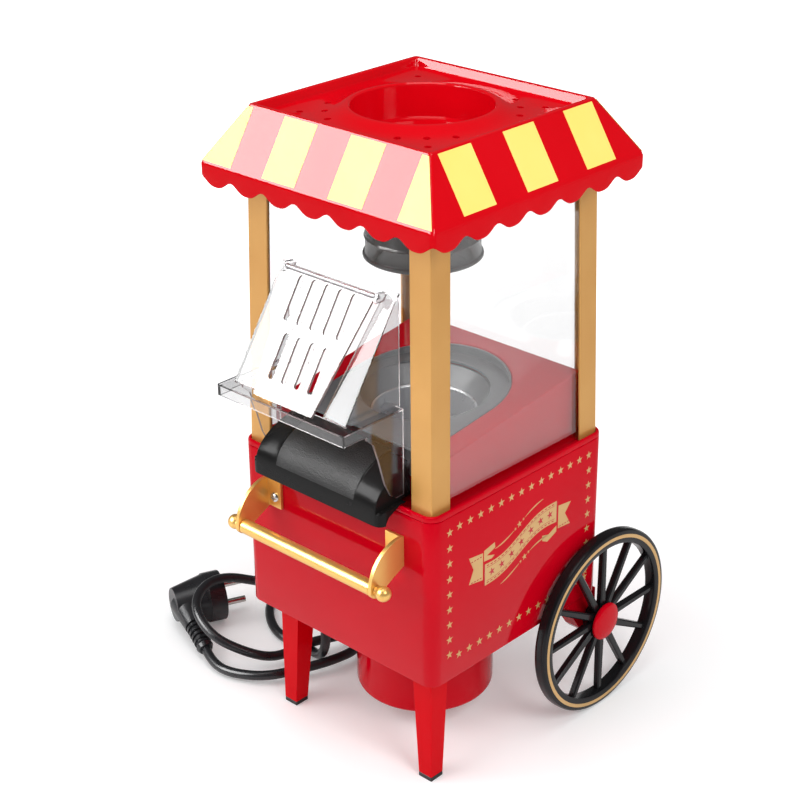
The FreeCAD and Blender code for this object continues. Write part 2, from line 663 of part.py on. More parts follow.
def make_heater():
    """Duct, mica cross, wound heating coil and thermal cut-out below the cup."""
    duct = cylinder("duct_outer", "0", "0", "duct_bottom", "duct_radius",
                    "chamber_bottom + 14 - duct_bottom")
    bore = cylinder("duct_bore", "0", "0", "duct_bottom - 1", "duct_radius - 0.8",
                    "chamber_bottom + 16 - duct_bottom")
    node(cut("duct_body", duct, [bore]), "heater_duct")
    blade_half = dim("duct_radius") - 1.2
    low = dim("duct_bottom") + 6
    cross = [box("mica_x", f"-{blade_half}", "-0.5", f"{low}", f"2 * {blade_half}", "1", "34"),
             box("mica_y", "-0.5", f"-{blade_half}", f"{low}", "1", f"2 * {blade_half}", "34")]
    notches = []
    rings = []
    for index, radius in enumerate((14, 20, 26, 32)):
        level = low + 5.3 + 7 * index
        rings.append(Part.makeTorus(radius, 1.0, Vector(0, 0, level)))
        notches.append(feature(f"mica_groove_{index}",
                               Part.makeTorus(radius, 1.1, Vector(0, 0, level))))
    node(cut("mica_body", fuse("mica_solid", cross), notches), "heater_frame")
    node(feature("coil_shape", Part.makeCompound(rings)), "heating_coil")
    disc = cylinder("cutout_disc", "duct_radius", "0", "duct_bottom + 24", "6", "4.5", "x")
    node(disc, "thermal_cutout")


# ---------------------------------------------------------------- fan

def make_fan():
    """Drum below the base with an intake, the impeller, its motor and the motor's bridge."""
    flange_z = "base_bottom + floor_skin + 0.1"
    drum = cylinder("drum_outer", "0", "0", "drum_bottom", "drum_radius",
                    "base_bottom + floor_skin + 1 - drum_bottom")
    doc.recompute()
    low_edge = [index for index, edge in enumerate(drum.Shape.Edges, start=1)
                if edge.BoundBox.ZMax < dim("drum_bottom") + 0.1 and edge.isClosed()]
    rolled = doc.addObject("Part::Fillet", "drum_rolled")
    rolled.Base = drum
    rolled.Edges = [(low_edge[0], 3.0, 3.0)]
    flange = cylinder("drum_flange_disc", "0", "0", flange_z, "drum_flange", "1.8")
    bore = cylinder("drum_bore", "0", "0", "drum_bottom + drum_skin + 0.6",
                    "drum_radius - drum_skin", "90")
    intake = []
    for index, radius in enumerate((12, 20, 28, 36)):
        outer = Part.makeCylinder(radius + 1.6, 8, Vector(0, 0, dim("drum_bottom") - 2))
        inner = Part.makeCylinder(radius - 1.6, 8, Vector(0, 0, dim("drum_bottom") - 2))
        bars = [Part.makeBox(2 * radius + 8, 5, 12, Vector(-radius - 4, -2.5,
                                                          dim("drum_bottom") - 4))]
        bars.append(Part.makeBox(5, 2 * radius + 8, 12, Vector(-2.5, -radius - 4,
                                                              dim("drum_bottom") - 4)))
        intake.append(feature(f"intake_ring_{index}", outer.cut(inner).cut(bars)))
    solid = fuse("drum_solid", [rolled, flange])
    node(cut("drum_body", solid, [bore, *intake]), "fan_housing")

    hub = cylinder("fan_hub", "0", "0", "impeller_low", "7", "impeller_high - impeller_low")
    disc = cylinder("fan_disc", "0", "0", "impeller_low", "impeller_radius", "1.4")
    blades = []
    for index in range(int(dim("blade_count"))):
        blade = Part.makeBox(dim("impeller_radius") - 6.5, 1.4,
                             dim("impeller_high") - dim("impeller_low"),
                             Vector(6, -0.7, dim("impeller_low")))
        blade.rotate(Vector(0, 0, 0), Vector(0, 0, 1), 360 / dim("blade_count") * index)
        blades.append(feature(f"fan_blade_{index}", blade))
    bore = cylinder("fan_bore", "0", "0", "impeller_low - 1", "shaft_radius + running_gap",
                    "impeller_high - impeller_low + 2")
    node(cut("fan_body", fuse("fan_solid", [hub, disc, *blades]), [bore]), "fan_impeller")

    can = cylinder("motor_can", "0", "0", "motor_low", "motor_radius", "motor_high - motor_low")
    shaft = cylinder("motor_shaft", "0", "0", "impeller_low + 1", "shaft_radius",
                     "motor_low - impeller_low")
    nose = cylinder("motor_nose", "0", "0", "motor_low - 2", "4", "3")
    node(fuse("motor_body", [can, shaft, nose]), "fan_motor")

    cup_radius = "motor_radius + 1.6"
    cup = cylinder("bridge_cup", "0", "0", "motor_high - 10", cup_radius, "11.8")
    seat_bore = cylinder("bridge_bore", "0", "0", "motor_high - 11", "motor_radius + 0.1", "11.1")
    arms = []
    arm_z = dim("base_bottom") + dim("floor_skin") + 2.1
    for index in range(3):
        arm = Part.makeBox(dim("drum_flange") - 13, 8, 3, Vector(13.4, -4, arm_z))
        arm.rotate(Vector(), Vector(0, 0, 1), 120 * index + 45)
        arms.append(feature(f"bridge_arm_{index}", arm))
    node(cut("bridge_body", fuse("bridge_solid", [cup, *arms]), [seat_bore]), "motor_bridge")


# ---------------------------------------------------------------- legs, axle, wheels

def make_legs():
    """Two tapered front legs with rubber pads."""
    for side, sign in SIDES.items():
        outer = "base_width / 2 - leg_inset"
        spans = []
        for width in ("leg_foot", "leg_head"):
            spans.append((*mirrored(sign, f"{outer} - {width}", outer),
                          f"-({outer})", f"-({outer}) + {width}"))
        leg = wedge(f"leg_block_{side}", spans[0], spans[1], "pad_height", "base_bottom - 0.1")
        x_low, _ = mirrored(sign, f"{outer} - leg_foot", outer)
        pilot = cylinder(f"leg_pilot_{side}", f"{sign * (dim('base_width') / 2 - 21)}",
                         f"{-(dim('base_width') / 2 - 21)}", "base_bottom - 9", "1.65", "10")
        node(cut(f"leg_body_{side}", leg, [pilot]), f"leg_front_{side}")
        pad_item = box(f"pad_block_{side}", x_low, f"-({outer})", "0", "leg_foot", "leg_foot",
                       "pad_height")
        node(pad_item, f"foot_pad_{side}")


def make_axle():
    """Axle brackets below the back of the base, the axle, and its spring clips."""
    y, z = dim("axle_y"), dim("wheel_radius")
    nose = dim("bracket_nose")
    top = dim("base_bottom") - 0.1
    for side, sign in SIDES.items():
        edges = outline([(53.0, top), (53.0, top - 5, 3), (y - nose + 1.0, z - 6.0, 6),
                         (y - 5, z - nose, 6), (y + 5.4, z - nose, 5), (y + 5.4, top)])
        level = "bracket_inner_x" if sign > 0 else "-bracket_outer_x"
        block = padded(f"bracket_block_{side}", "plane_x", level,
                       "bracket_outer_x - bracket_inner_x", edges)
        bore = cylinder(f"bracket_bore_{side}", f"{level} - 1", "axle_y", "wheel_radius",
                        "axle_radius", "bracket_outer_x - bracket_inner_x + 2", "x")
        node(cut(f"bracket_body_{side}", block, [bore]), f"axle_bracket_{side}")
    end = "wheel_outer_x - 1.2"
    rod = cylinder("axle_rod", f"-({end})", "axle_y", "wheel_radius", "axle_radius",
                   f"2 * ({end})", "x")
    node(rod, "wheel_axle")
    clips = []
    for side, sign in SIDES.items():
        x = "bracket_outer_x + 0.3" if sign > 0 else "-bracket_outer_x - 1.5"
        disc = cylinder(f"clip_disc_{side}", x, "axle_y", "wheel_radius", "6.5", "1.2", "x")
        hole = cylinder(f"clip_hole_{side}", f"{x} - 1", "axle_y", "wheel_radius", "axle_radius",
                        "4", "x")
        clips.append(cut(f"clip_{side}", disc, [hole]))
    node(group("clip_group", clips), "axle_washers")


def make_wheels():
    """Twelve-spoked wheels that turn on the axle, and their domed hub caps."""
    rim, inner, hub = dim("wheel_radius"), dim("rim_inner"), dim("hub_radius")
    for side, sign in SIDES.items():
        body = doc.addObject("PartDesign::Body", f"wheel_{side}_body")
        level = "wheel_outer_x - rim_width" if sign > 0 else "-wheel_outer_x"
        pad(body, "plane_x", level, "rim_width", ring((0, 0), rim) + ring((0, 0), inner))
        spoke_level = f"({level}) + {2.0 if sign > 0 else 2.4}"
        spoke = pad(body, "plane_x", spoke_level, "4.6",
                    outline([(-2.7, hub - 3), (2.7, hub - 3), (2.0, inner + 1.5),
                             (-2.0, inner + 1.5)]))
        pattern = body.newObject("PartDesign::PolarPattern", f"wheel_{side}_spokes")
        pattern.Originals = [spoke]
        axis = next(f for f in body.Origin.OriginFeatures if f.Role == "X_Axis")
        pattern.Axis = (axis, [""])
        pattern.Angle = 360
        bind(pattern, Occurrences="spoke_count")
        body.Tip = pattern
        hub_level = "hub_inner_x" if sign > 0 else "-wheel_outer_x + 1.0"
        pad(body, "plane_x", hub_level, "wheel_outer_x - 1.0 - hub_inner_x", ring((0, 0), hub))
        bore = body.newObject("PartDesign::Pocket", f"wheel_{side}_bore")
        bore.Profile = sketch_on(body, "plane_x", f"{hub_level} - 1",
                                 ring((0, 0), dim("axle_radius") + dim("running_gap")))
        bind(bore, Length="wheel_outer_x - hub_inner_x + 2")
        bore.Reversed = True
        body.Tip = bore
        bind(body, Placement__Base__z="wheel_radius")
        body.addProperty("App::PropertyString", "SeatY")
        body.SeatY = "axle_y"
        node(body, f"wheel_{side}")
        cap_x = "wheel_outer_x - 0.9" if sign > 0 else "-wheel_outer_x + 0.9 - hub_cap_height"
        radii = ("hub_cap_radius", "hub_cap_radius - 4")
        low, high = radii if sign > 0 else radii[::-1]
        cap = cone(f"hub_cap_cone_{side}", cap_x, "axle_y", "wheel_radius", low, high,
                   "hub_cap_height", "x")
        node(cap, f"hub_cap_{side}")


# ---------------------------------------------------------------- handle

def finial(sign):
    """Turned ball on a stud, with a collar against its bracket."""
    stud, ball, centre = dim("stud_radius"), dim("finial_radius"), dim("finial_x")
    collar = dim("bracket_out_x") + 0.1
    neck = centre - math.sqrt(ball ** 2 - stud ** 2)
    low = dim("bracket_in_x") - 6
    corners = [(low, 0), (low, stud), (collar, stud), (collar, 3.4), (collar + 0.9, 3.4),
               (collar + 0.9, stud), (neck, stud)]
    spots = [Vector(sign * x, dim("handle_y") + radius, dim("handle_z")) for x, radius in corners]
    top = Vector(sign * centre, dim("handle_y") + ball, dim("handle_z"))
    tip = Vector(sign * (centre + ball), dim("handle_y"), dim("handle_z"))
    edges = [Part.LineSegment(a, b).toShape() for a, b in zip(spots, spots[1:])]
    edges += [Part.Arc(spots[-1], top, tip).toShape(), Part.LineSegment(tip, spots[0]).toShape()]
    return Part.Face(Part.Wire(edges)).revolve(spots[0], Vector(1, 0, 0), 360)


def make_handle():
    """Turned bar between two curved brackets, with ball finials and screws."""
    y, z = dim("handle_y"), dim("handle_z")
    wall = -dim("base_width") / 2
    skin = dim("flange_skin")
    arc_radius = 27.0
    centre = Vector(wall - skin, z, 0)
    tip = Vector(y, z, 0)
    outer_start = centre + Vector(0, arc_radius, 0)
    outer_end = centre + Vector(-arc_radius, 0, 0)
    mid = centre + Vector(-arc_radius, arc_radius, 0) * math.sqrt(0.5)
    tip_low = Vector(y + 1.4, z - 5.2, 0)
    inner_end = Vector(wall, z + 6.5, 0)
    for side, sign in SIDES.items():
        edges = [Part.Arc(outer_start, mid, outer_end),
                 Part.Arc(outer_end, tip + Vector(-3.4, -3.8, 0), tip_low),
                 Part.Arc(tip_low, Vector(-94.6, z + 0.8, 0), inner_end),
                 Part.LineSegment(inner_end, Vector(wall, outer_start.y, 0)),
                 Part.LineSegment(Vector(wall, outer_start.y, 0), outer_start)]
        level = "bracket_in_x" if sign > 0 else "-bracket_out_x"
        plate = padded(f"handle_plate_{side}", "plane_x", level,
                       "bracket_out_x - bracket_in_x", edges)
        x_low, _ = mirrored(sign, "flange_inner_x", "bracket_in_x + 1")
        flange = box(f"handle_flange_{side}", x_low, "-base_width / 2 - flange_skin",
                     f"{z + 6.5}", "bracket_in_x + 1 - flange_inner_x", "flange_skin", "20.5")
        holes = [
            cylinder(f"handle_pin_hole_{side}", f"{level} - 1", "handle_y", "handle_z",
                     "stud_radius + 0.2", "bracket_out_x - bracket_in_x + 2", "x"),
            cylinder(f"handle_flange_hole_{side}", f"{sign} * handle_screw_x",
                     "-base_width / 2 - flange_skin - 1", "handle_screw_z", "1.7",
                     "flange_skin + 2", "y"),
        ]
        node(cut(f"handle_bracket_{side}_body",
                 fuse(f"handle_bracket_{side}_solid", [plate, flange]), holes),
             f"handle_bracket_{side}")
    rod = cylinder("handle_rod", "-bracket_in_x + 0.1", "handle_y", "handle_z", "handle_radius",
                   "2 * bracket_in_x - 0.2", "x")
    bores = []
    balls = []
    screws = []
    for side, sign in SIDES.items():
        bore_x = "bracket_in_x - 7" if sign > 0 else "-bracket_in_x - 1"
        bores.append(cylinder(f"handle_bore_{side}", bore_x, "handle_y", "handle_z",
                              "stud_radius + 0.2", "8", "x"))
        balls.append(feature(f"finial_{side}", finial(sign)))
        head = cylinder(f"handle_screw_head_{side}", f"{sign} * handle_screw_x",
                        "-base_width / 2 - flange_skin - 1.9", "handle_screw_z", "3.2", "1.8", "y")
        shank = cylinder(f"handle_screw_shank_{side}", f"{sign} * handle_screw_x",
                         "-base_width / 2 - flange_skin - 1", "handle_screw_z", "1.5", "11", "y")
        screws.append(fuse(f"handle_screw_{side}", [head, shank]))
    node(cut("handle_body", rod, bores), "handle_bar")
    node(group("finial_group", balls), "handle_finials")
    node(group("handle_screw_group", screws), "handle_screws")


# ---------------------------------------------------------------- electrics

def make_switch():
    """Rocker switch in the back wall."""
    back = "base_width / 2"
    frame = box("bezel_plate", "switch_x - 9", f"{back} + 0.1", "switch_z - 13", "18", "2", "26")
    sleeve = box("bezel_sleeve", "switch_x - 6.8", f"{back} - 12", "switch_z - 10.8", "13.6",
                 "12.2", "21.6")
    hollow = box("bezel_hollow", "switch_x - 5.4", f"{back} - 10", "switch_z - 10", "10.8", "20",
                 "20")
    pin_hole = cylinder("bezel_pin_hole", "switch_x - 6.3", f"{back} - 3", "switch_z", "1.25",
                        "12.6", "x")
    node(cut("bezel_body", fuse("bezel_solid", [frame, sleeve]), [hollow, pin_hole]),
         "switch_bezel")
    y = dim("base_width") / 2
    z = dim("switch_z")
    half = dim("rocker_length") / 2
    face = [(y - 6.5, z - 4), (y - 1.0, z - half + 0.6), (y + 3.6, z - half + 0.9),
            (y + 1.4, z), (y + 0.6, z + half - 0.6), (y - 1.5, z + half - 1.2), (y - 6.5, z + 4)]
    x = dim("switch_x")
    reach = dim("rocker_width") / 2
    key = slab(face, x - reach, x + reach)
    pin = Part.makeCylinder(1.2, 12.2, Vector(x - 6.1, y - 3, z), Vector(1, 0, 0))
    node(feature("rocker_shape", key.fuse(pin).removeSplitter()), "switch_rocker")


def make_board():
    """Small rectifier board for the motor, on two stand-offs on the floor."""
    level = dim("base_bottom") + dim("floor_skin") + 0.1
    plate = box("board_plate", "34", "44", f"{level + 5}", "36", "26", "1.6")
    parts = [plate]
    for index, (x, y) in enumerate(((38, 48), (66, 66))):
        parts.append(cylinder(f"board_post_{index}", f"{x}", f"{y}", f"{level}", "2.4", "5.2"))
    parts.append(box("board_block", "38", "56", f"{level + 6}", "10", "9", "9"))
    parts.append(cylinder("board_can", "58", "52", f"{level + 6}", "4", "11"))
    node(fuse("board_body", parts), "rectifier_board")


def cord_route():
    """The mains lead's route from the gland to the plug: corner points by hand."""
    gx, gy = dim("gland_x"), dim("gland_y")
    low, over = dim("cord_radius"), 12.0
    return [Vector(*point) for point in (
        (gx, gy, dim("gland_foot") - 0.1), (gx - 0.4, gy + 0.5, 44), (-67, -29, 25.5),
        (-80, -22.5, 7.5), (-101, -15.5, low), (-124, -19.5, low), (-147, -9.5, low),
        (-167, 10, low), (-170, 42, low), (-147, 66, low), (-118, 64, low), (-99, 43, low),
        (-87, 21, low), (-86, -2, over), (-95.5, -24, over), (-101.5, -43.2, 7.4),
        (-112.3, -59.8, 13.4), (-135.8, -76.6, 26.5), (-165.1, -66.8, 38.8),
        (-173.6, -35, 42.7), (-153.5, -4.5, 30.6), (-136.9, 11.4, 25.4), (-120, 25, 14),
        (-91, 29, over + 1.2), (-69, 9, 5.4), (-67.6, -23.6, 10.1), (-79.9, -43.7, 7.3),
        (-90.7, -65.9, 7.2), (-116.1, -78, 5.3), (-134.8, -76.6, 5.7),
        (-145.8, -71.7, 8.2))]


def rounded_path(points):
    """Straight runs joined by the largest tangent arcs, and each arc's radius."""
    edges = []
    radii = []
    start = points[0]
    for index in range(1, len(points) - 1):
        here = points[index]
        before, after = points[index - 1] - here, points[index + 1] - here
        shorter = min(before.Length, after.Length)
        turn = math.pi - before.getAngle(after)
        radius = 0.45 * shorter / math.tan(turn / 2)
        reach = 0.45 * shorter
        entry = here + Vector(before).normalize() * reach
        leave = here + Vector(after).normalize() * reach
        bisector = (Vector(before).normalize() + Vector(after).normalize()).normalize()
        gap = radius / math.cos(turn / 2) - radius
        edges.append(Part.LineSegment(start, entry).toShape())
        edges.append(Part.Arc(entry, here + bisector * gap, leave).toShape())
        radii.append(radius)
        start = leave
    edges.append(Part.LineSegment(start, points[-1]).toShape())
    return Part.Wire(edges), radii


def make_cord():
    """Gland in the floor, the mains lead lying in loose loops, and its angled plug."""
    flange = cylinder("gland_flange", "gland_x", "gland_y", "base_bottom + floor_skin + 0.1",
                      "8.5", "2")
    neck = cylinder("gland_neck", "gland_x", "gland_y", "base_bottom - 0.2", "6",
                    "floor_skin + 0.6")
    relief = cone("gland_relief", "gland_x", "gland_y", "gland_foot", "4.3", "6.6",
                  "base_bottom - 0.1 - gland_foot")
    bore = cylinder("gland_bore", "gland_x", "gland_y", "gland_foot - 1", "cord_radius - 0.2",
                    "base_bottom + 8 - gland_foot")
    node(cut("gland_body", fuse("gland_solid", [flange, neck, relief]), [bore]), "cord_gland")

    path, radii = rounded_path(cord_route())
    radius = dim("cord_radius")
    start = path.Edges[0]
    profile = Part.Wire(Part.Circle(start.valueAt(start.FirstParameter),
                                    start.tangentAt(start.FirstParameter), radius).toShape())
    tube = path.makePipeShell([profile], True, False, 2)
    section = math.pi * radius ** 2
    print("cord length mm", round(path.Length, 1), "radii", [round(r, 1) for r in radii])
    print("cord volume ratio", round(tube.Volume / (section * path.Length), 4))
    node(feature("cord_shape", tube), "power_cord")


def make_plug():
    """Side-entry mains plug lying on its rim, with a ribbed strain relief and two pins."""
    centre = Vector(-181.3, -25.7, 18.6)
    normal = Vector(0.40, 0.917, 0).normalize()
    entry = Vector(0.898, -0.392, -0.2).normalize()
    up = normal.cross(entry).normalize()
    head = Part.makeCylinder(18.5, 12, centre - normal * 12, normal)
    rear = Part.makeCone(12.5, 18.0, 24.5, centre - normal * 36, normal)
    axis = centre - normal * 28
    shoulder = Part.makeCone(10.5, 7.4, 27, axis, entry)
    relief = Part.makeCone(5.6, 4.8, 25, axis + entry * 26, entry)
    ribs = [Part.makeCylinder(6.9 - 0.25 * index, 2.4, axis + entry * (28.5 + 4.5 * index), entry)
            for index in range(4)]
    bulb = Part.makeCone(5.0, 6.2, 3, axis + entry * 46, entry)
    nose = Part.makeCone(6.2, 4.9, 2.7, axis + entry * 49, entry)
    body = head.multiFuse([rear, shoulder, relief, bulb, nose, *ribs])
    body = body.common(Part.makeBox(400, 400, 100, Vector(-400, -200, 0.1)))
    node(feature("plug_shape", body.removeSplitter()), "plug_body")
    pins = []
    for sign in (-1, 1):
        at = centre + up * (sign * 9.5)
        pins.append(Part.makeCylinder(2.4, 19, at + normal * 0.05, normal))
    node(feature("pins_shape", Part.makeCompound(pins)), "plug_pins")


# ---------------------------------------------------------------- check and write

def check_document():
    """Stop on any failed feature or any node without a valid closed shape."""
    for item in doc.Objects:
        if set(item.State) & {"Invalid", "Error"}:
            raise RuntimeError(f"{item.Name} failed: {item.State}")
    for label, item in nodes.items():
        shape = item.Shape
        if shape.isNull() or not shape.isValid() or not shape.Solids:
            raise RuntimeError(f"{label} has no valid solid")
        print(f"{label:22s} solids {len(shape.Solids)} volume {shape.Volume:10.1f}")


def write_parts():
    """One STEP file for each node."""
    os.makedirs("parts", exist_ok=True)
    for label, item in nodes.items():
        item.Shape.exportStep(f"parts/{label}.step")


fill_sheet()
make_base()
make_posts()
make_windows()
make_hood()
make_flap()
make_roof()
make_deflector()
make_chute()
make_chamber()
make_heater()
make_fan()
make_legs()
make_axle()
make_wheels()
make_handle()
make_switch()
make_board()
make_cord()
make_plug()
doc.recompute()
check_document()
write_parts()
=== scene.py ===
import json
import math

import bmesh
import bpy
from mathutils import Matrix, Vector

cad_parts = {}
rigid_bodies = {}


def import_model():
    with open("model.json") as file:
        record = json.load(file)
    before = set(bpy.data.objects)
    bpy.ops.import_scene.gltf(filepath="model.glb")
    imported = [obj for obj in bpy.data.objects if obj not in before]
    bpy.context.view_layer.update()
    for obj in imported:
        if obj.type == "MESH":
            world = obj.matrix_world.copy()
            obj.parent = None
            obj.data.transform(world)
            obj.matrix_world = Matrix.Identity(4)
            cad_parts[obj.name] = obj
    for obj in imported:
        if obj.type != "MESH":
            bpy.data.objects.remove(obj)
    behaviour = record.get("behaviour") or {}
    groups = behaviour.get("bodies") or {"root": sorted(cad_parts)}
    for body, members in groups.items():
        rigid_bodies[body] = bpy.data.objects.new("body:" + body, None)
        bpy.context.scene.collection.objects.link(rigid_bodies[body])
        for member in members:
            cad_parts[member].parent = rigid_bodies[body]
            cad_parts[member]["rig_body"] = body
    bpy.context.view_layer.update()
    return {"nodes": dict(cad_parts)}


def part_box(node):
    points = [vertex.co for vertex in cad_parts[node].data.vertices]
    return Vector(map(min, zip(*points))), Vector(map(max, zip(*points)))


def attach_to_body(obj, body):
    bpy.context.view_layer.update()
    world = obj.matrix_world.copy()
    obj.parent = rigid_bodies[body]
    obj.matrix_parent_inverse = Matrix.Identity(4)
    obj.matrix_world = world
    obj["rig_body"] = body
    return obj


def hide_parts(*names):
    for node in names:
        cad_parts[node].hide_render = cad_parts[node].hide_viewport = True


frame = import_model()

# Lengths are millimetres about the middle of the cart's base, and row() turns them
# into the frame's metres. The lead's whole length and the lights' sizes and distances
# are metres.
MM = 0.001
BASE_LOW, BASE_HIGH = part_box("base_shell")
MID_Y = (BASE_LOW.y + BASE_HIGH.y) / 2
BASE_HALF = (BASE_HIGH.x - BASE_LOW.x) / 2 / MM
BASE_FOOT = BASE_LOW.z / MM
RIM_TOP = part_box("top_tray")[1].z / MM
DECK = 200.6
SEAM = 199.3
SIDES = {"left": -1, "right": 1}
EAVE_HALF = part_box("roof_canopy")[1].x / MM
ROOF_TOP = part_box("roof_canopy")[1].z / MM
EAVE_LEVEL = ROOF_TOP - 35.1
CROWN_HALF = EAVE_HALF - 22.0
STRIPE_COUNT = 7
STRIPE = 2 * EAVE_HALF / STRIPE_COUNT
LOBE_LEVEL = 373.9
PLATE_LEVEL = 417.0
WELL_FLOOR = 399.0


def row(x, y, z):
    """A point in the row frame, in metres, from millimetres about the base's middle."""
    return Vector((x * MM, y * MM + MID_Y, z * MM))


def span(node):
    """A node's box in millimetres about the base's middle."""
    low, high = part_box(node)
    shift = Vector((0, MID_Y, 0))
    return (low - shift) / MM, (high - shift) / MM


# ---------------------------------------------------------------- materials

def new_material(name):
    """Empty material with its nodes and links."""
    material = bpy.data.materials.new(name)
    material.use_nodes = True
    return material, material.node_tree.nodes, material.node_tree.links


def noise(nodes, links, coords, scale, detail=3.0, rough=0.55):
    """Noise on the object's own coordinates."""
    texture = nodes.new("ShaderNodeTexNoise")
    texture.inputs["Scale"].default_value = scale
    texture.inputs["Detail"].default_value = detail
    texture.inputs["Roughness"].default_value = rough
    links.new(coords.outputs["Object"], texture.inputs["Vector"])
    return texture


def spread(nodes, links, source, low, high, start=0.3, stop=0.7):
    """Map a value between start and stop to between low and high."""
    mapper = nodes.new("ShaderNodeMapRange")
    mapper.inputs["From Min"].default_value = start
    mapper.inputs["From Max"].default_value = stop
    mapper.inputs["To Min"].default_value = low
    mapper.inputs["To Max"].default_value = high
    links.new(source, mapper.inputs["Value"])
    return mapper.outputs["Result"]


def surface(name, dark, light, rough, metallic=0.0, mottle=14.0, grain=900.0, bump=0.03,
            specular=0.5, transmission=0.0, ior=1.5):
    """Moulded or painted surface: colour, roughness and relief all vary a little."""
    wear, relief_depth = 4.3, 0.0004
    material, nodes, links = new_material(name)
    shader = nodes["Principled BSDF"]
    coords = nodes.new("ShaderNodeTexCoord")
    patch = noise(nodes, links, coords, mottle)
    ramp = nodes.new("ShaderNodeValToRGB")
    ramp.color_ramp.elements[0].position = 0.3
    ramp.color_ramp.elements[1].position = 0.7
    ramp.color_ramp.elements[0].color = (*dark, 1)
    ramp.color_ramp.elements[1].color = (*light, 1)
    links.new(patch.outputs["Fac"], ramp.inputs["Fac"])
    links.new(ramp.outputs["Color"], shader.inputs["Base Color"])
    worn = noise(nodes, links, coords, mottle * wear, 5.0)
    links.new(spread(nodes, links, worn.outputs["Fac"], *rough), shader.inputs["Roughness"])
    fine = noise(nodes, links, coords, grain, 2.0, 0.6)
    relief = nodes.new("ShaderNodeBump")
    relief.inputs["Strength"].default_value = bump
    relief.inputs["Distance"].default_value = relief_depth
    links.new(fine.outputs["Fac"], relief.inputs["Height"])
    links.new(relief.outputs["Normal"], shader.inputs["Normal"])
    shader.inputs["Metallic"].default_value = metallic
    shader.inputs["Specular IOR Level"].default_value = specular
    shader.inputs["Transmission Weight"].default_value = transmission
    shader.inputs["IOR"].default_value = ior
    return material


def mix_shaders(nodes, links, share, first, second):
    """Send two shaders, mixed by a share of the second, to the material's output."""
    mix = nodes.new("ShaderNodeMixShader")
    links.new(share, mix.inputs["Fac"])
    links.new(first.outputs["BSDF"], mix.inputs[1])
    links.new(second.outputs["BSDF"], mix.inputs[2])
    links.new(mix.outputs["Shader"], nodes["Material Output"].inputs["Surface"])


def clear(name, tint, share):
    """Thin clear sheet: light goes straight through it, but for a share mirrored at each angle."""
    grazing, power = 0.9, 4.0
    material, nodes, links = new_material(name)
    nodes.remove(nodes["Principled BSDF"])
    coords = nodes.new("ShaderNodeTexCoord")
    through = nodes.new("ShaderNodeBsdfTransparent")
    through.inputs["Color"].default_value = (*tint, 1)
    mirror = nodes.new("ShaderNodeBsdfGlossy")
    smears = noise(nodes, links, coords, 30.0, 4.0)
    links.new(spread(nodes, links, smears.outputs["Fac"], 0.0, 0.03), mirror.inputs["Roughness"])
    facing = nodes.new("ShaderNodeLayerWeight")
    facing.inputs["Blend"].default_value = 0.5
    steep = nodes.new("ShaderNodeMath")
    steep.operation = "POWER"
    steep.inputs[1].default_value = power
    links.new(facing.outputs["Facing"], steep.inputs[0])
    more = nodes.new("ShaderNodeMath")
    more.operation = "MULTIPLY_ADD"
    more.use_clamp = True
    more.inputs[1].default_value = grazing
    more.inputs[2].default_value = share
    links.new(steep.outputs["Value"], more.inputs[0])
    mix_shaders(nodes, links, more.outputs["Value"], through, mirror)
    return material


def moulded_clear(name, tint, ior):
    """Thick clear plastic that bends what is seen through it, and casts only a faint shadow."""
    material = surface(name, tint, tuple(min(c + 0.01, 1) for c in tint), (0.0, 0.012),
                       bump=0.006, grain=60.0, transmission=1.0, ior=ior)
    nodes, links = material.node_tree.nodes, material.node_tree.links
    path = nodes.new("ShaderNodeLightPath")
    through = nodes.new("ShaderNodeBsdfTransparent")
    through.inputs["Color"].default_value = (0.94, 0.94, 0.94, 1)
    mix_shaders(nodes, links, path.outputs["Is Shadow Ray"], nodes["Principled BSDF"], through)
    return material


RED = surface("gloss_red", (0.50, 0.0, 0.008), (0.54, 0.001, 0.010), (0.04, 0.08), bump=0.02,
              grain=420.0, specular=0.11)
ROOF_RED = surface("roof_red", (0.56, 0.0, 0.004), (0.60, 0.001, 0.006), (0.04, 0.08), bump=0.02,
                   grain=420.0, specular=0.36)
TRIM_RED = surface("trim_red", (0.56, 0.0, 0.004), (0.60, 0.001, 0.006), (0.05, 0.10), bump=0.02,
                   grain=420.0, specular=0.05)
GOLD = surface("satin_gold", (0.55, 0.27, 0.062), (0.61, 0.32, 0.085), (0.34, 0.42), metallic=0.3,
               bump=0.05, grain=1500.0)
HANDLE_GOLD = surface("handle_gold", (0.78, 0.46, 0.13), (0.82, 0.50, 0.155), (0.29, 0.32),
                      metallic=0.7, bump=0.008, grain=1500.0)
STRIPE_GOLD = surface("stripe_print", (0.96, 0.67, 0.15), (0.98, 0.71, 0.19), (0.06, 0.10),
                      bump=0.02, grain=900.0, specular=0.22)
PRINT_GOLD = surface("panel_print", (0.58, 0.35, 0.13), (0.65, 0.40, 0.16), (0.30, 0.42),
                     metallic=0.25, bump=0.03, grain=1800.0)
BLACK = surface("gloss_black", (0.006, 0.006, 0.007), (0.012, 0.011, 0.012), (0.16, 0.26),
                bump=0.03, grain=700.0, specular=0.22)
CHUTE_BLACK = surface("textured_black", (0.006, 0.006, 0.006), (0.010, 0.009, 0.009),
                      (0.32, 0.40), bump=1.0, grain=1200.0, specular=0.30)
CHUTE_SMOOTH = surface("smooth_black", (0.006, 0.006, 0.006), (0.010, 0.009, 0.009),
                       (0.20, 0.28), bump=0.1, grain=1000.0, specular=0.10)
DARK_STEEL = surface("enamel_black", (0.016, 0.014, 0.012), (0.030, 0.027, 0.024), (0.12, 0.25),
                     bump=0.04, grain=300.0)
TRAY_GREY = surface("tray_grey", (0.105, 0.11, 0.115), (0.14, 0.145, 0.15), (0.32, 0.42),
                    bump=0.15, grain=1400.0)
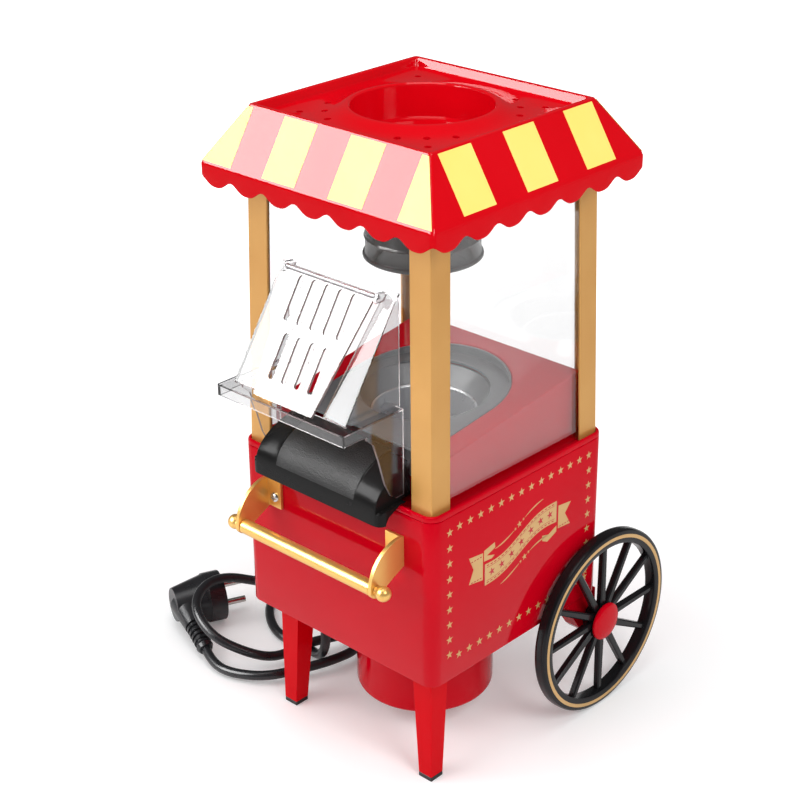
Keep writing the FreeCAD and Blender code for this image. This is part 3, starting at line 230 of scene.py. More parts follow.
ALUMINIUM = surface("drawn_aluminium", (0.66, 0.67, 0.69), (0.74, 0.75, 0.77), (0.24, 0.36),
                    metallic=0.8, bump=0.08, grain=900.0)
ZINC = surface("zinc_steel", (0.55, 0.55, 0.57), (0.68, 0.68, 0.70), (0.18, 0.32), metallic=0.9,
               bump=0.06, grain=1400.0)
NICKEL = surface("nickel_pin", (0.62, 0.60, 0.57), (0.72, 0.70, 0.67), (0.10, 0.18),
                 metallic=0.95, bump=0.02)
SHEATH = surface("sheath_black", (0.010, 0.010, 0.012), (0.018, 0.018, 0.021), (0.24, 0.34),
                 bump=0.12, grain=1500.0)
RUBBER = surface("foot_rubber", (0.012, 0.012, 0.012), (0.02, 0.02, 0.02), (0.6, 0.75), bump=0.4,
                 grain=1200.0)
MICA = surface("mica_board", (0.50, 0.42, 0.28), (0.66, 0.58, 0.42), (0.35, 0.55), bump=0.3,
               grain=500.0)
BOARD = surface("lacquered_board", (0.03, 0.14, 0.05), (0.05, 0.20, 0.08), (0.25, 0.4), bump=0.1)
LINE_RED = surface("line_red", (0.42, 0.0, 0.01), (0.48, 0.0, 0.012), (0.10, 0.18), bump=0.02)
PANE = clear("clear_pane", (0.975, 0.975, 0.975), 0.09)
FRONT_PANE = clear("clear_front_pane", (0.975, 0.975, 0.975), 0.012)
CLEAR = moulded_clear("clear_moulding", (0.94, 0.94, 0.945), 1.5)
FLAP_CLEAR = moulded_clear("clear_flap", (0.95, 0.95, 0.955), 1.6)
# Dark pinkish colour for the clear sheets' narrow edges: painted refraction and reflection of the
# red base, not a colour the clear plastic has.
PAINTED_EDGE_LINE = surface("clear_edge_painted_refraction", (0.20, 0.15, 0.15), (0.26, 0.20, 0.20), (0.12, 0.2),
                   bump=0.02, specular=0.1, transmission=0.35)


# ---------------------------------------------------------------- mesh helpers

def place(name, data):
    """Object in the scene from its mesh, curve, light or camera."""
    item = bpy.data.objects.new(name, data)
    bpy.context.scene.collection.objects.link(item)
    return item


def settle(item):
    """Apply an object's modifiers to its mesh."""
    bpy.context.view_layer.update()
    graph = bpy.context.evaluated_depsgraph_get()
    mesh = bpy.data.meshes.new_from_object(item.evaluated_get(graph))
    item.modifiers.clear()
    item.data = mesh
    return item


def shade(item, angle=32.0):
    """Smooth shading that keeps edges sharper than an angle."""
    item.data.shade_smooth()
    item.data.set_sharp_from_angle(angle=math.radians(angle))
    return item


def round_edges(item, width, segments=2, angle=28.0, outline=-1):
    """Round an object's sharp edges, width in millimetres; outline is the strips' material index."""
    if width:
        bevel = item.modifiers.new("rounding", "BEVEL")
        bevel.width = width * MM
        bevel.segments = segments
        bevel.limit_method = "ANGLE"
        bevel.angle_limit = math.radians(angle)
        bevel.miter_outer = "MITER_ARC"
        bevel.material = outline
        normals = item.modifiers.new("face_normals", "WEIGHTED_NORMAL")
        normals.keep_sharp = True
        settle(item)
    return item


def add(name, bm, material, smooth=32.0):
    """Object from a bmesh in the row frame, its normals outward and its faces smooth."""
    bmesh.ops.remove_doubles(bm, verts=bm.verts, dist=1e-7)
    bmesh.ops.recalc_face_normals(bm, faces=bm.faces)
    mesh = bpy.data.meshes.new(name)
    bm.to_mesh(mesh)
    bm.free()
    item = place(name, mesh)
    for one in material if isinstance(material, (list, tuple)) else [material]:
        mesh.materials.append(one)
    return shade(item, smooth)


def attach(item, body, slot, *nodes):
    """Ride a piece on a body and hide the nodes it stands for; slot, the finish it takes, is not
    used.
    """
    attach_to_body(item, body)
    if nodes:
        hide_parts(*nodes)
    return item


def stack(rings, closed=False, low_cap=None, high_cap=None):
    """Bmesh skinned over rings of equal length, closed round or capped with poles."""
    bm = bmesh.new()
    loops = [[bm.verts.new(row(*point)) for point in ring] for ring in rings]
    count = len(loops[0])
    pairs = list(zip(loops, loops[1:])) + ([(loops[-1], loops[0])] if closed else [])
    for lower, upper in pairs:
        for k in range(count):
            n = (k + 1) % count
            bm.faces.new((lower[k], lower[n], upper[n], upper[k]))
    for cap, loop in ((low_cap, loops[0]), (high_cap, loops[-1])):
        if cap == "flat":
            bm.faces.new(loop)
        elif cap is not None:
            pole = bm.verts.new(row(*cap))
            for k in range(count):
                bm.faces.new((loop[k], loop[(k + 1) % count], pole))
    return bm


AXES = {"x": lambda a, b, h: (h, a, b),
        "y": lambda a, b, h: (a, h, b),
        "z": lambda a, b, h: (a, b, h)}


def turned_rings(profile, centre, axis, steps):
    """Circles about an axis, one for each (radius, height) of a profile."""
    rings = []
    for radius, height in profile:
        ring = []
        for k in range(steps):
            angle = 2 * math.pi * k / steps
            x, y, z = AXES[axis](radius * math.cos(angle), radius * math.sin(angle), height)
            ring.append((x + centre[0], y + centre[1], z + centre[2]))
        rings.append(ring)
    return rings


def turned(profile, centre=(0, 0, 0), axis="z", steps=96):
    """Closed turned solid: profile is (radius, height) from one pole to the other."""
    ends = [AXES[axis](0, 0, profile[k][1]) for k in (0, -1)]
    caps = [tuple(a + b for a, b in zip(end, centre)) for end in ends]
    return stack(turned_rings(profile, centre, axis, steps), low_cap=caps[0], high_cap=caps[1])


def turned_ring(profile, centre=(0, 0, 0), axis="z", steps=96):
    """Closed turned tube: profile is a closed loop of (radius, height)."""
    return stack(turned_rings(profile, centre, axis, steps), closed=True)


def square_ring(half, corner, level, arc=8, straight=6, edge=None):
    """Ring round a rounded square; edge(x) adds height along each side."""
    ring = []
    for side in range(4):
        turn = math.radians(90 * side)
        local = []
        for k in range(arc):
            angle = math.radians(45) * (1 - k / arc)
            local.append((-(half - corner) - corner * math.sin(angle),
                          -(half - corner) - corner * math.cos(angle)))
        for k in range(straight):
            local.append((-(half - corner) + 2 * (half - corner) * k / straight, -half))
        for k in range(arc):
            angle = math.radians(45) * k / arc
            local.append((half - corner + corner * math.sin(angle),
                          -(half - corner) - corner * math.cos(angle)))
        for x, y in local:
            z = level + (edge(x) if edge else 0)
            ring.append((x * math.cos(turn) - y * math.sin(turn),
                         x * math.sin(turn) + y * math.cos(turn), z))
    return ring


def round_ring(like, radius, level):
    """Circle whose points stand at the same bearings as another ring's."""
    ring = []
    for x, y, _ in like:
        angle = math.atan2(y, x)
        ring.append((radius * math.cos(angle), radius * math.sin(angle), level))
    return ring


def add_prism(bm, outline, to_point, low, high):
    """Add a plane outline's prism to a bmesh; to_point(a, b, h) gives millimetres."""
    ends = [[bm.verts.new(row(*to_point(a, b, h))) for a, b in outline] for h in (low, high)]
    count = len(outline)
    for k in range(count):
        n = (k + 1) % count
        bm.faces.new((ends[0][k], ends[0][n], ends[1][n], ends[1][k]))
    bm.faces.new(ends[0])
    bm.faces.new(ends[1])


def prism(outline, to_point, low, high):
    """Bmesh prism of one plane outline."""
    bm = bmesh.new()
    add_prism(bm, outline, to_point, low, high)
    return bm


def block(x0, y0, z0, x1, y1, z1):
    """Bmesh box between two corners."""
    return prism([(x0, y0), (x1, y0), (x1, y1), (x0, y1)], AXES["z"], z0, z1)


def merge(bm, extra):
    """Add one bmesh's faces to another."""
    mesh = bpy.data.meshes.new("extra")
    bmesh.ops.recalc_face_normals(extra, faces=extra.faces)
    extra.to_mesh(mesh)
    extra.free()
    bm.from_mesh(mesh)
    bpy.data.meshes.remove(mesh)


def cut_away(item, cutters):
    """Cut a list of bmeshes out of an object."""
    joined = bmesh.new()
    for cutter in cutters:
        merge(joined, cutter)
    mesh = bpy.data.meshes.new("cutter")
    joined.to_mesh(mesh)
    joined.free()
    tool = place("cutter", mesh)
    modifier = item.modifiers.new("cut", "BOOLEAN")
    modifier.operation = "DIFFERENCE"
    modifier.solver = "EXACT"
    modifier.object = tool
    settle(item)
    bpy.data.objects.remove(tool)
    return item


def mark_painted_edge_faces(bm, widest):
    """Second material, the painted dark refraction line, for a sheet's narrow faces, as wide as its
    thickness, below the hinge.
    """
    hinge_foot = 329.0
    for face in bm.faces:
        longest = max(edge.calc_length() for edge in face.edges)
        narrow = face.calc_area() / longest < widest * MM
        if narrow and face.calc_center_median().z < hinge_foot * MM:
            face.material_index = 1


def soften(node, material, width, segments=2, smooth=32.0, sheet=0.0):
    """Piece made from a CAD node's shape, its facets merged and its edges rounded.

    A sheet, given by its widest cut edge, takes the second material, a painted dark refraction line,
    along those edges.
    """
    source = frame["nodes"][node]
    bm = bmesh.new()
    bm.from_mesh(source.data)
    bmesh.ops.remove_doubles(bm, verts=bm.verts, dist=2e-6)
    bmesh.ops.dissolve_limit(bm, angle_limit=math.radians(0.5), verts=bm.verts, edges=bm.edges)
    if sheet:
        mark_painted_edge_faces(bm, sheet)
    item = add(node + "_piece", bm, material, smooth)
    if sheet:
        round_edges(item, width, 1, 40, outline=1)
    else:
        round_edges(item, width, segments)
    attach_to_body(item, source["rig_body"])
    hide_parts(node)
    return item


def dress(node, material):
    """Give a CAD node that stays a finished material."""
    item = frame["nodes"][node]
    if not item.material_slots:
        item.data.materials.append(material)
    for slot in item.material_slots:
        slot.material = material


# ---------------------------------------------------------------- camera, light, floor

def make_camera():
    """Camera at the three-quarter view from the front right, looking down."""
    yaw, pitch, roll = math.radians(43.57), math.radians(25.46), math.radians(-0.59)
    ahead = Vector((-math.sin(yaw) * math.cos(pitch), math.cos(yaw) * math.cos(pitch),
                    -math.sin(pitch)))
    right = Vector((math.cos(yaw), math.sin(yaw), 0))
    up = right.cross(ahead)
    right, up = (right * math.cos(roll) + up * math.sin(roll),
                 up * math.cos(roll) - right * math.sin(roll))
    data = bpy.data.cameras.new("camera")
    data.lens = 82.1
    data.sensor_width = 36.0
    data.clip_start = 0.01
    data.clip_end = 50
    camera = place("camera", data)
    basis = Matrix((right, up, -ahead)).transposed().to_4x4()
    stand = row(712.31, -770.78, 726.25)
    camera.matrix_world = Matrix.Translation(stand) @ basis
    bpy.context.scene.camera = camera


def add_light(name, azimuth, elevation, distance, size, power):
    """Soft box at a bearing (0 in front, turning to the right) aimed at the cart."""
    data = bpy.data.lights.new(name, "AREA")
    data.shape = "RECTANGLE"
    data.size, data.size_y = size
    data.energy = power
    item = place(name, data)
    turn, lift = math.radians(azimuth), math.radians(elevation)
    away = Vector((math.sin(turn) * math.cos(lift), -math.cos(turn) * math.cos(lift),
                   math.sin(lift)))
    middle = row(0, 0, 250)
    item.location = middle + away * distance
    item.rotation_euler = away.to_track_quat("Z", "Y").to_euler()
    return item


def make_shine(light, size, strength):
    """The face of a soft box as glossy surfaces mirror it, brighter than its own light."""
    bm = bmesh.new()
    wide, tall = size[0] / 2, size[1] / 2
    bm.faces.new([bm.verts.new((x * wide, y * tall, 0))
                  for x, y in ((-1, -1), (1, -1), (1, 1), (-1, 1))])
    mesh = bpy.data.meshes.new("soft_box_face")
    bm.to_mesh(mesh)
    bm.free()
    material, nodes, links = new_material("soft_box_glow")
    nodes.remove(nodes["Principled BSDF"])
    glow = nodes.new("ShaderNodeEmission")
    glow.inputs["Strength"].default_value = strength
    links.new(glow.outputs["Emission"], nodes["Material Output"].inputs["Surface"])
    mesh.materials.append(material)
    item = place("soft_box_face", mesh)
    item.location = light.location
    item.rotation_euler = light.rotation_euler
    item.visible_camera = False
    item.visible_diffuse = False
    item.visible_shadow = False
    item.visible_transmission = False
    return item


def brighten_afar(material):
    """Lift a floor to white away from the cart, so that only its near shadows show."""
    nodes, links = material.node_tree.nodes, material.node_tree.links
    shader = nodes["Principled BSDF"]
    shader.inputs["Emission Color"].default_value = (1, 1, 1, 1)
    coords = nodes.new("ShaderNodeTexCoord")
    reach = nodes.new("ShaderNodeVectorMath")
    reach.operation = "LENGTH"
    links.new(coords.outputs["Object"], reach.inputs[0])
    path = nodes.new("ShaderNodeLightPath")
    seen = nodes.new("ShaderNodeMath")
    seen.operation = "MULTIPLY"
    links.new(spread(nodes, links, reach.outputs["Value"], 0.16, 0.85, 0.2, 1.1), seen.inputs[0])
    links.new(path.outputs["Is Camera Ray"], seen.inputs[1])
    links.new(seen.outputs["Value"], shader.inputs["Emission Strength"])


def make_studio():
    """Pale floor, pale surroundings and soft boxes."""
    world = bpy.data.worlds.new("surroundings")
    world.use_nodes = True
    nodes, links = world.node_tree.nodes, world.node_tree.links
    back = nodes["Background"]
    back.inputs["Color"].default_value = (1, 1, 1, 1)
    path = nodes.new("ShaderNodeLightPath")
    dim = nodes.new("ShaderNodeMapRange")
    dim.inputs["To Min"].default_value = 0.62
    dim.inputs["To Max"].default_value = 0.10
    links.new(path.outputs["Is Glossy Ray"], dim.inputs["Value"])
    seen = nodes.new("ShaderNodeMath")
    seen.operation = "MAXIMUM"
    links.new(dim.outputs["Result"], seen.inputs[0])
    links.new(path.outputs["Is Camera Ray"], seen.inputs[1])
    links.new(seen.outputs["Value"], back.inputs["Strength"])
    bpy.context.scene.world = world
    bm = bmesh.new()
    bmesh.ops.create_grid(bm, x_segments=1, y_segments=1, size=12.0)
    floor = add("floor", bm, surface("floor_white", (0.90, 0.90, 0.905), (0.92, 0.92, 0.925),
                                     (0.45, 0.6), mottle=1.0, bump=0.0, specular=0.3))
    brighten_afar(floor.data.materials[0])
    key_size = (1.45, 1.25)
    key = add_light("key", -30.3, 31, 1.9, key_size, 16)
    key.visible_glossy = False
    shine = make_shine(key, key_size, 15.0)
    add_light("top", 20, 80, 1.7, (1.0, 1.0), 8)
    add_light("side", 78, 38, 1.6, (0.7, 0.7), 11)
    bpy.context.scene.view_settings.view_transform = "Standard"


# ---------------------------------------------------------------- mains lead

CORD_RADIUS = 3.4


def cord_points():
    """The lead's route from the gland to the plug, the same corners as its solid's."""
    low, over = CORD_RADIUS, 12.0
    return [(-62.5, -33.5, 55.9), (-62.9, -33, 44), (-67, -29, 25.5), (-80, -22.5, 7.5),
            (-101, -15.5, low), (-124, -19.5, low), (-147, -9.5, low), (-167, 10, low),
            (-170, 42, low), (-147, 66, low), (-118, 64, low), (-99, 43, low), (-87, 21, low),
            (-86, -2, over), (-95.5, -24, over), (-101.5, -43.2, 7.4), (-112.3, -59.8, 13.4),
            (-135.8, -76.6, 26.5), (-165.1, -66.8, 38.8), (-173.6, -35, 42.7),
            (-153.5, -4.5, 30.6), (-136.9, 11.4, 25.4), (-120, 25, 14), (-91, 29, over + 1.2),
            (-69, 9, 5.4), (-67.6, -23.6, 10.1), (-79.9, -43.7, 7.3), (-90.7, -65.9, 7.2),
            (-116.1, -78, 5.3), (-134.8, -76.6, 5.7), (-145.8, -71.7, 8.2)]


def make_cord():
    """One smooth lead from the gland to the plug."""
    points = cord_points()
    curve = bpy.data.curves.new("mains_lead", "CURVE")
    curve.dimensions = "3D"
    spline = curve.splines.new("NURBS")
    spline.points.add(len(points) - 1)
    for spot, point in zip(spline.points, points):
        spot.co = (*row(*point), 1)
    spline.order_u = 3
    spline.use_endpoint_u = True
    spline.resolution_u = 10
    curve.bevel_depth = CORD_RADIUS * MM
    curve.bevel_resolution = 6
    curve.use_fill_caps = True
    curve.materials.append(SHEATH)
    lead = place("mains_lead", curve)
    attach(lead, "cart", "cord_sheath", "power_cord")
    plug = soften("plug_body", SHEATH, 0.8)
    dress("plug_pins", NICKEL)
    gland = soften("cord_gland", SHEATH, 0.5)


# ---------------------------------------------------------------- base

def base_ring(half, corner, level):
    """Ring round the base's rounded square."""
    return square_ring(half, corner, level, straight=10)


def make_shell():
    """Moulded base shell with the switch's window."""
    half, foot = BASE_HALF, BASE_FOOT
    wall = [(half - 2.5, 6.5, foot + 0.5), (half - 2.1, 6.9, foot), (half - 1.0, 8.0, foot),
            (half - 0.3, 8.7, foot + 0.3), (half, 9.0, foot + 1.0), (half, 9.0, SEAM - 0.5),
            (half - 0.2, 8.8, SEAM - 0.15), (half - 0.5, 8.5, SEAM), (half - 2.5, 6.5, SEAM)]
    shell = add("base_body", stack([base_ring(*ring) for ring in wall], closed=True), RED)
    low, high = span("switch_bezel")
    lip = 2.2
    cut_away(shell, [block(low.x + lip, half - 5, low.z + lip, high.x - lip, half + 3,
                           high.z - lip)])
    shade(shell)
    attach(shell, "cart", "glossy_red", "base_shell")


def make_tray():
    """Tray with a raised rim and a round mouth, which closes the base."""
    half, top, mouth = BASE_HALF, RIM_TOP, 54.5
    upper = [(half - 0.4, 8.6, SEAM + 0.1), (half, 9.0, SEAM + 0.5), (half, 9.0, top - 1.6),
             (half - 0.35, 8.65, top - 0.6), (half - 1.0, 8.0, top - 0.1), (half - 1.5, 7.5, top),
             (half - 2.0, 7.0, top - 0.2), (half - 2.5, 6.5, top - 1.0),
             (half - 2.7, 6.3, top - 2.2), (half - 3.3, 5.7, DECK)]
    rings = [base_ring(*ring) for ring in upper]
    for radius, level in ((mouth + 0.6, DECK), (mouth, DECK - 0.6), (mouth, DECK - 2.5)):
        rings.append(round_ring(rings[-1], radius, level))
    rings.append(base_ring(half - 2.8, 6.2, DECK - 2.5))
    rings.append(base_ring(half - 2.8, 6.2, SEAM + 0.1))
    tray = add("tray_body", stack(rings, closed=True), RED)
    attach(tray, "cart", "glossy_red", "top_tray")


def make_base_fittings():
    """Chamber cover, legs, foot pads, axle brackets and the floor."""
    soften("chamber_cover", RED, 0.9, 3)
    for side in SIDES:
        soften(f"leg_front_{side}", TRIM_RED, 1.1, 3)
    for side in SIDES:
        soften(f"foot_pad_{side}", RUBBER, 0.4)
    for side in SIDES:
        soften(f"axle_bracket_{side}", RED, 0.9, 3)
    dress("base_floor", RED)
    dress("floor_screws", ZINC)


# ---------------------------------------------------------------- print on the side panel

PRINT_X = BASE_HALF
PRINT_THICK = 0.10


def decal(name, outlines, lift, material):
    """Thin print on the right-hand wall: flat outlines in (y, z), sunk a little into it."""
    sunk = 0.05
    bm = bmesh.new()
    for outline in outlines:
        add_prism(bm, outline, AXES["x"], PRINT_X - sunk, PRINT_X + lift)
    item = add(name, bm, material)
    return attach(item, "cart", "gold_post")


def star(y, z, radius, tilt=0.0):
    """Five-pointed star outline."""
    points = []
    for k in range(10):
        reach = radius if k % 2 == 0 else radius * 0.38
        angle = math.radians(90 + 36 * k + tilt)
        points.append((y + reach * math.cos(angle), z + reach * math.sin(angle)))
    return points


def band_at(t, side):
    """Waving band, t from 0 to 1 along it and side from -1 below to 1 above."""
    y = -35.0 + 70.0 * t
    middle = 146.0 + 16.5 * t + 3.1 * math.sin(2 * math.pi * (t + 0.52))
    return y, middle + side * (7.6 - 0.8 * math.sin(math.pi * t))


def band_piece(start, stop, low, high, steps):
    """Outline of a stretch of the band between two heights across it."""
    lower = [band_at(start + (stop - start) * k / steps, low) for k in range(steps + 1)]
    upper = [band_at(start + (stop - start) * k / steps, high) for k in range(steps + 1)]
    return lower + upper[::-1]


def make_border():
    """Stars in four straight rows round the panel."""
    pitch_y, pitch_z, edge = 9.58, 10.72, 67.0
    rows = ((-edge, 189.0, 0, -pitch_z, 9), (edge, 179.2, 0, -pitch_z, 8),
            (-58.2, 190.3, pitch_y, 0, 14), (-58.2, 99.6, pitch_y, 0, 14))
    stars = [star(y + step_y * k, z + step_z * k, 3.0)
             for y, z, step_y, step_z, count in rows for k in range(count)]
    decal("border_stars", stars, PRINT_THICK, PRINT_GOLD)


TAIL_ROOT = 36.6
TAILS = [[(-49.5, 163.6), (-45.2, 154.0), (-49.4, 145.0), (-TAIL_ROOT, 143.0),
          (-TAIL_ROOT, 162.0)],
         [(TAIL_ROOT, 165.4), (49.2, 163.9), (43.4, 157.4), (48.9, 147.9), (TAIL_ROOT, 149.0)]]
FOLDS = [[(-35.6, 155.6), (-35.6, 163.0), (-25.6, 165.2), (-25.2, 161.4), (-33.0, 158.8),
          (-25.6, 156.4), (-28.4, 155.0)],
         [(20.8, 150.0), (21.2, 146.0), (26.0, 143.6), (35.0, 147.4), (35.0, 151.6),
          (27.0, 148.4)]]


def make_ribbon():
    """Blank waving ribbon with folded, notched tails."""
    decal("ribbon", TAILS + FOLDS + [band_piece(0, 1, -1, 1, 36)], PRINT_THICK, PRINT_GOLD)


def tail_stitches():
    """Short level dashes along the upper and lower edges of the ribbon's tails."""
    dashes = []
    long, thick = 0.8, 0.3
    for sign, tail in zip((-1, 1), TAILS):
        low_z, high_z = min(z for _, z in tail[-2:]), max(z for _, z in tail[-2:])
        for k in range(4):
            y = sign * (38.6 + 2.7 * k)
            drift = (y - sign * TAIL_ROOT) * (0.12 if sign < 0 else -0.10)
            for z in (low_z + 2.0 + 0.16 * abs(drift), high_z - 2.0 + 0.1 * drift):
                dashes.append([(y - long, z - thick), (y + long, z - thick),
                               (y + long, z + thick), (y - long, z + thick)])
    return dashes


def make_stitching():
    """Stitches, fine lines and a row of stars on the ribbon."""
    stitches = []
    count = 19
    for k in range(count):
        start = 0.03 + 0.945 * k / count
        for side in (-0.80, 0.80):
            stitches.append(band_piece(start, start + 0.030, side - 0.045, side + 0.045, 3))
    stitches += tail_stitches()
    edges = [band_piece(-0.006, 0.006, -1.0, 1.0, 1), band_piece(0.994, 1.006, -1.0, 1.0, 1)]
    edges += [band_piece(0.03, 0.97, side - 0.02, side + 0.02, 30) for side in (-0.62, 0.62)]
    emblems = [star(*band_at(0.10 + 0.8 * k / 6, 0.0), 3.1, 12) for k in range(7)]
    decal("ribbon_stitching", stitches + edges + emblems, PRINT_THICK + 0.04, LINE_RED)


def make_rules():
    """Two thin swelling rules above and below the ribbon, each broken by three stars."""
    rules = []
    gap, apart, steps = 0.075, 0.055, 16
    for lift, start, stop in ((14.6, 0.14, 0.80), (-14.0, 0.22, 0.88)):
        middle = (start + stop) / 2
        for low, high in ((start, middle - gap), (middle + gap, stop)):
            upper, lower = [], []
            for k in range(steps + 1):
                y, level = band_at(low + (high - low) * k / steps, 0.0)
                thick = 0.12 + 0.38 * math.sin(math.pi * k / steps)
                upper.append((y, level + lift + thick))
                lower.append((y, level + lift - thick))
            rules.append(lower + upper[::-1])
        for t, radius in ((middle, 2.5), (middle - apart, 1.2), (middle + apart, 1.2)):
            y, level = band_at(t, 0.0)
            rules.append(star(y, level + lift, radius, 8))
    decal("ribbon_rules", rules, PRINT_THICK, PRINT_GOLD)


# ---------------------------------------------------------------- house

def make_house():
    """Corner posts, clear panes, hood and slotted flap."""
    for end in ("front", "back"):
        for side in SIDES:
            soften(f"post_{end}_{side}", GOLD, 0.45)
    for node in ("window_left", "window_right", "window_back"):
        soften(node, PANE, 0.0, smooth=1)
    soften("window_front", FRONT_PANE, 0.0, smooth=1)
    # The hood's and flap's narrow edges take the painted dark refraction line.
    soften("front_hood", (CLEAR, PAINTED_EDGE_LINE), 0.2, smooth=20, sheet=1.8)
    soften("hood_flap", (FLAP_CLEAR, PAINTED_EDGE_LINE), 0.4, smooth=20, sheet=1.8)
    dress("flap_hinge_rod", ZINC)


# ---------------------------------------------------------------- roof

def scallop(x):
    """Height of the valance's lower edge above its lobes, along a side."""
    share = (x / STRIPE + STRIPE_COUNT / 2) % 1.0
    return 5.3 * (0.5 + 0.5 * math.cos(2 * math.pi * share)) ** 1.6


def roof_ring(half, corner, level, edge=None):
    """Rounded square with points close enough together for the valance's lobes."""
    return square_ring(half, corner, level, 5, 84, edge)


def slope_at(share, inset=0.0):
    """Half width and level of the slopes, a share of the way from the eave to the crown."""
    return (EAVE_HALF - (EAVE_HALF - CROWN_HALF) * share - inset,
            EAVE_LEVEL + (ROOF_TOP - EAVE_LEVEL) * share)


def roof_inside(like):
    """Rings under the well, the plate and the slopes, and down inside the valance."""
    half, eave, lobes = EAVE_HALF, EAVE_LEVEL, LOBE_LEVEL
    rings = [round_ring(like, 44.0, WELL_FLOOR - 2), round_ring(like, 45.0, WELL_FLOOR - 1),
             round_ring(like, 45.0, PLATE_LEVEL - 2),
             roof_ring(CROWN_HALF - 7, 2.0, PLATE_LEVEL - 2)]
    for share in (0.86, 0.5, 0.05):
        reach, level = slope_at(share, 2.4)
        rings.append(roof_ring(reach, 2.0, level))
    rings.append(roof_ring(half - 1.9, 2.0, eave - 1.6))
    rings.append(roof_ring(half - 1.9, 2.0, lobes + 0.5, scallop))
    rings.append(roof_ring(half - 1.5, 2.2, lobes + 0.1, scallop))
    return rings


def roof_outside(like):
    """Rings up the valance and the slopes, over the crown's edge and down into the well."""
    half, eave, lobes, top = EAVE_HALF, EAVE_LEVEL, LOBE_LEVEL, ROOF_TOP
    plate, floor = PLATE_LEVEL, WELL_FLOOR
    rings = [roof_ring(half - 0.5, 2.6, lobes, scallop),
             roof_ring(half - 0.1, 2.9, lobes + 0.4, scallop),
             roof_ring(half, 3.0, lobes + 0.9, scallop), roof_ring(half, 3.0, eave - 1.6),
             roof_ring(half, 3.0, eave - 0.7), roof_ring(half - 0.35, 3.0, eave + 0.1)]
    for share in (0.03, 0.06, 0.5, 0.95, 0.975):
        reach, level = slope_at(share)
        rings.append(roof_ring(reach, 2.6, level))
    crown_rings = ((0.3, 2.6, top - 0.25), (-0.7, 2.4, top), (-2.2, 2.0, top),
                   (-3.0, 2.0, top - 0.35), (-3.5, 2.0, top - 1.3), (-4.0, 2.0, top - 4.0),
                   (-4.5, 2.0, top - 5.1), (-5.6, 2.0, plate))
    for shift, corner, level in crown_rings:
        rings.append(roof_ring(CROWN_HALF + shift, corner, level))
    flare = ((61.0, plate), (57.0, plate + 0.35), (53.0, plate + 1.3), (49.5, plate + 2.9),
             (47.0, plate + 3.9), (45.4, plate + 4.3), (44.2, plate + 4.2), (43.3, plate + 3.5),
             (43.0, plate + 2.4), (42.7, floor + 3.0), (42.2, floor + 1.3),
             (40.8, floor + 0.3), (38.8, floor), (18.0, floor))
    for radius, level in flare:
        rings.append(round_ring(like, radius, level))
    return rings


def vent_holes():
    """Cutters for the four vent holes in each corner of the plate."""
    radius, corner = 2.2, ((28, 51.5), (41, 41), (51.5, 28), (51.5, 51.5))
    ends = [(radius, PLATE_LEVEL - 6), (radius, PLATE_LEVEL + 4)]
    return [turned(ends, (sx * x, sy * y, 0), steps=20)
            for sx in (-1, 1) for sy in (-1, 1) for x, y in corner]


def make_roof():
    """Hip roof: valance, slopes, crown with a flared well, and vent holes."""
    like = roof_ring(EAVE_HALF, 2, 0)
    bm = stack(roof_inside(like) + roof_outside(like), low_cap=(0, 0, WELL_FLOOR - 2),
               high_cap=(0, 0, WELL_FLOOR))
    for face in bm.faces:
        level = face.calc_center_median().z / MM
        face.material_index = 1 if level < EAVE_LEVEL - 0.7 else 0
    roof = add("roof_shell", bm, (ROOF_RED, TRIM_RED))
    cut_away(roof, vent_holes())
    shade(roof, 30)
    attach(roof, "roof", "roof_plastic", "roof_canopy")


def slope_point(turn, x, share, lift):
    """Point x along a side of the roof, a share of the way up its slope and lifted off it."""
    run, rise = EAVE_HALF - CROWN_HALF, ROOF_TOP - EAVE_LEVEL
    slope = math.hypot(run, rise)
    lean = math.atan2(run, rise)
    depth = EAVE_HALF - slope * share * math.sin(lean) + lift * math.cos(lean)
    level = EAVE_LEVEL + slope * share * math.cos(lean) + lift * math.sin(lean)
    return turn @ Vector((x, -depth, level))


def make_stripes():
    """Printed panels on the four slopes, every second one of seven."""
    head, margin = 0.965, 0.9
    sides = (("front", 0, 0.035), ("right", 1, 0.075), ("back", 0, 0.035), ("left", 1, 0.075))
    for side, (name, first, foot) in enumerate(sides):
        bm = bmesh.new()
        turn = Matrix.Rotation(math.radians(90 * side), 3, "Z")
        for index in range(first, STRIPE_COUNT, 2):
            low, high = -EAVE_HALF + STRIPE * index, -EAVE_HALF + STRIPE * (index + 1)
            edges = []
            for share in (foot, head):
                reach = EAVE_HALF - (EAVE_HALF - CROWN_HALF) * share - margin
                edges.append(((max(low, -reach), share), (min(high, reach), share)))
            outline = [*edges[0], *edges[1][::-1]]
            add_prism(bm, outline, lambda x, share, lift: slope_point(turn, x, share, lift),
                      -0.05, 0.12)
        attach(add(f"roof_stripes_{name}", bm, STRIPE_GOLD), "roof", "gold_post")


def make_deflector():
    """Black turned tube below the well, with a bead and a flared foot."""
    low, high = span("popcorn_deflector")
    foot, head = low.z, high.z
    wide = (high.x - low.x) / 2
    profile = [(wide - 2.8, foot + 0.2), (wide - 0.8, foot), (wide - 0.15, foot + 0.5),
               (wide, foot + 1.3), (wide - 0.3, foot + 2.2), (wide - 1.3, foot + 2.8),
               (wide - 1.7, foot + 4.0), (wide - 1.7, foot + 11.8), (wide - 1.3, foot + 12.5),
               (wide - 0.9, foot + 13.2), (wide - 1.3, foot + 13.9), (wide - 1.7, foot + 14.6),
               (wide - 1.7, head - 1.0), (wide - 2.2, head - 0.2), (wide - 3.2, head),
               (12.0, head), (12.0, head - 1.4), (wide - 3.4, head - 1.4),
               (wide - 3.3, foot + 4.0)]
    item = add("deflector_tube", turned_ring(profile, steps=128), DARK_STEEL)
    attach(item, "roof", "black_plastic", "popcorn_deflector")
    dress("deflector_screws", ZINC)


# ---------------------------------------------------------------- chute and chamber

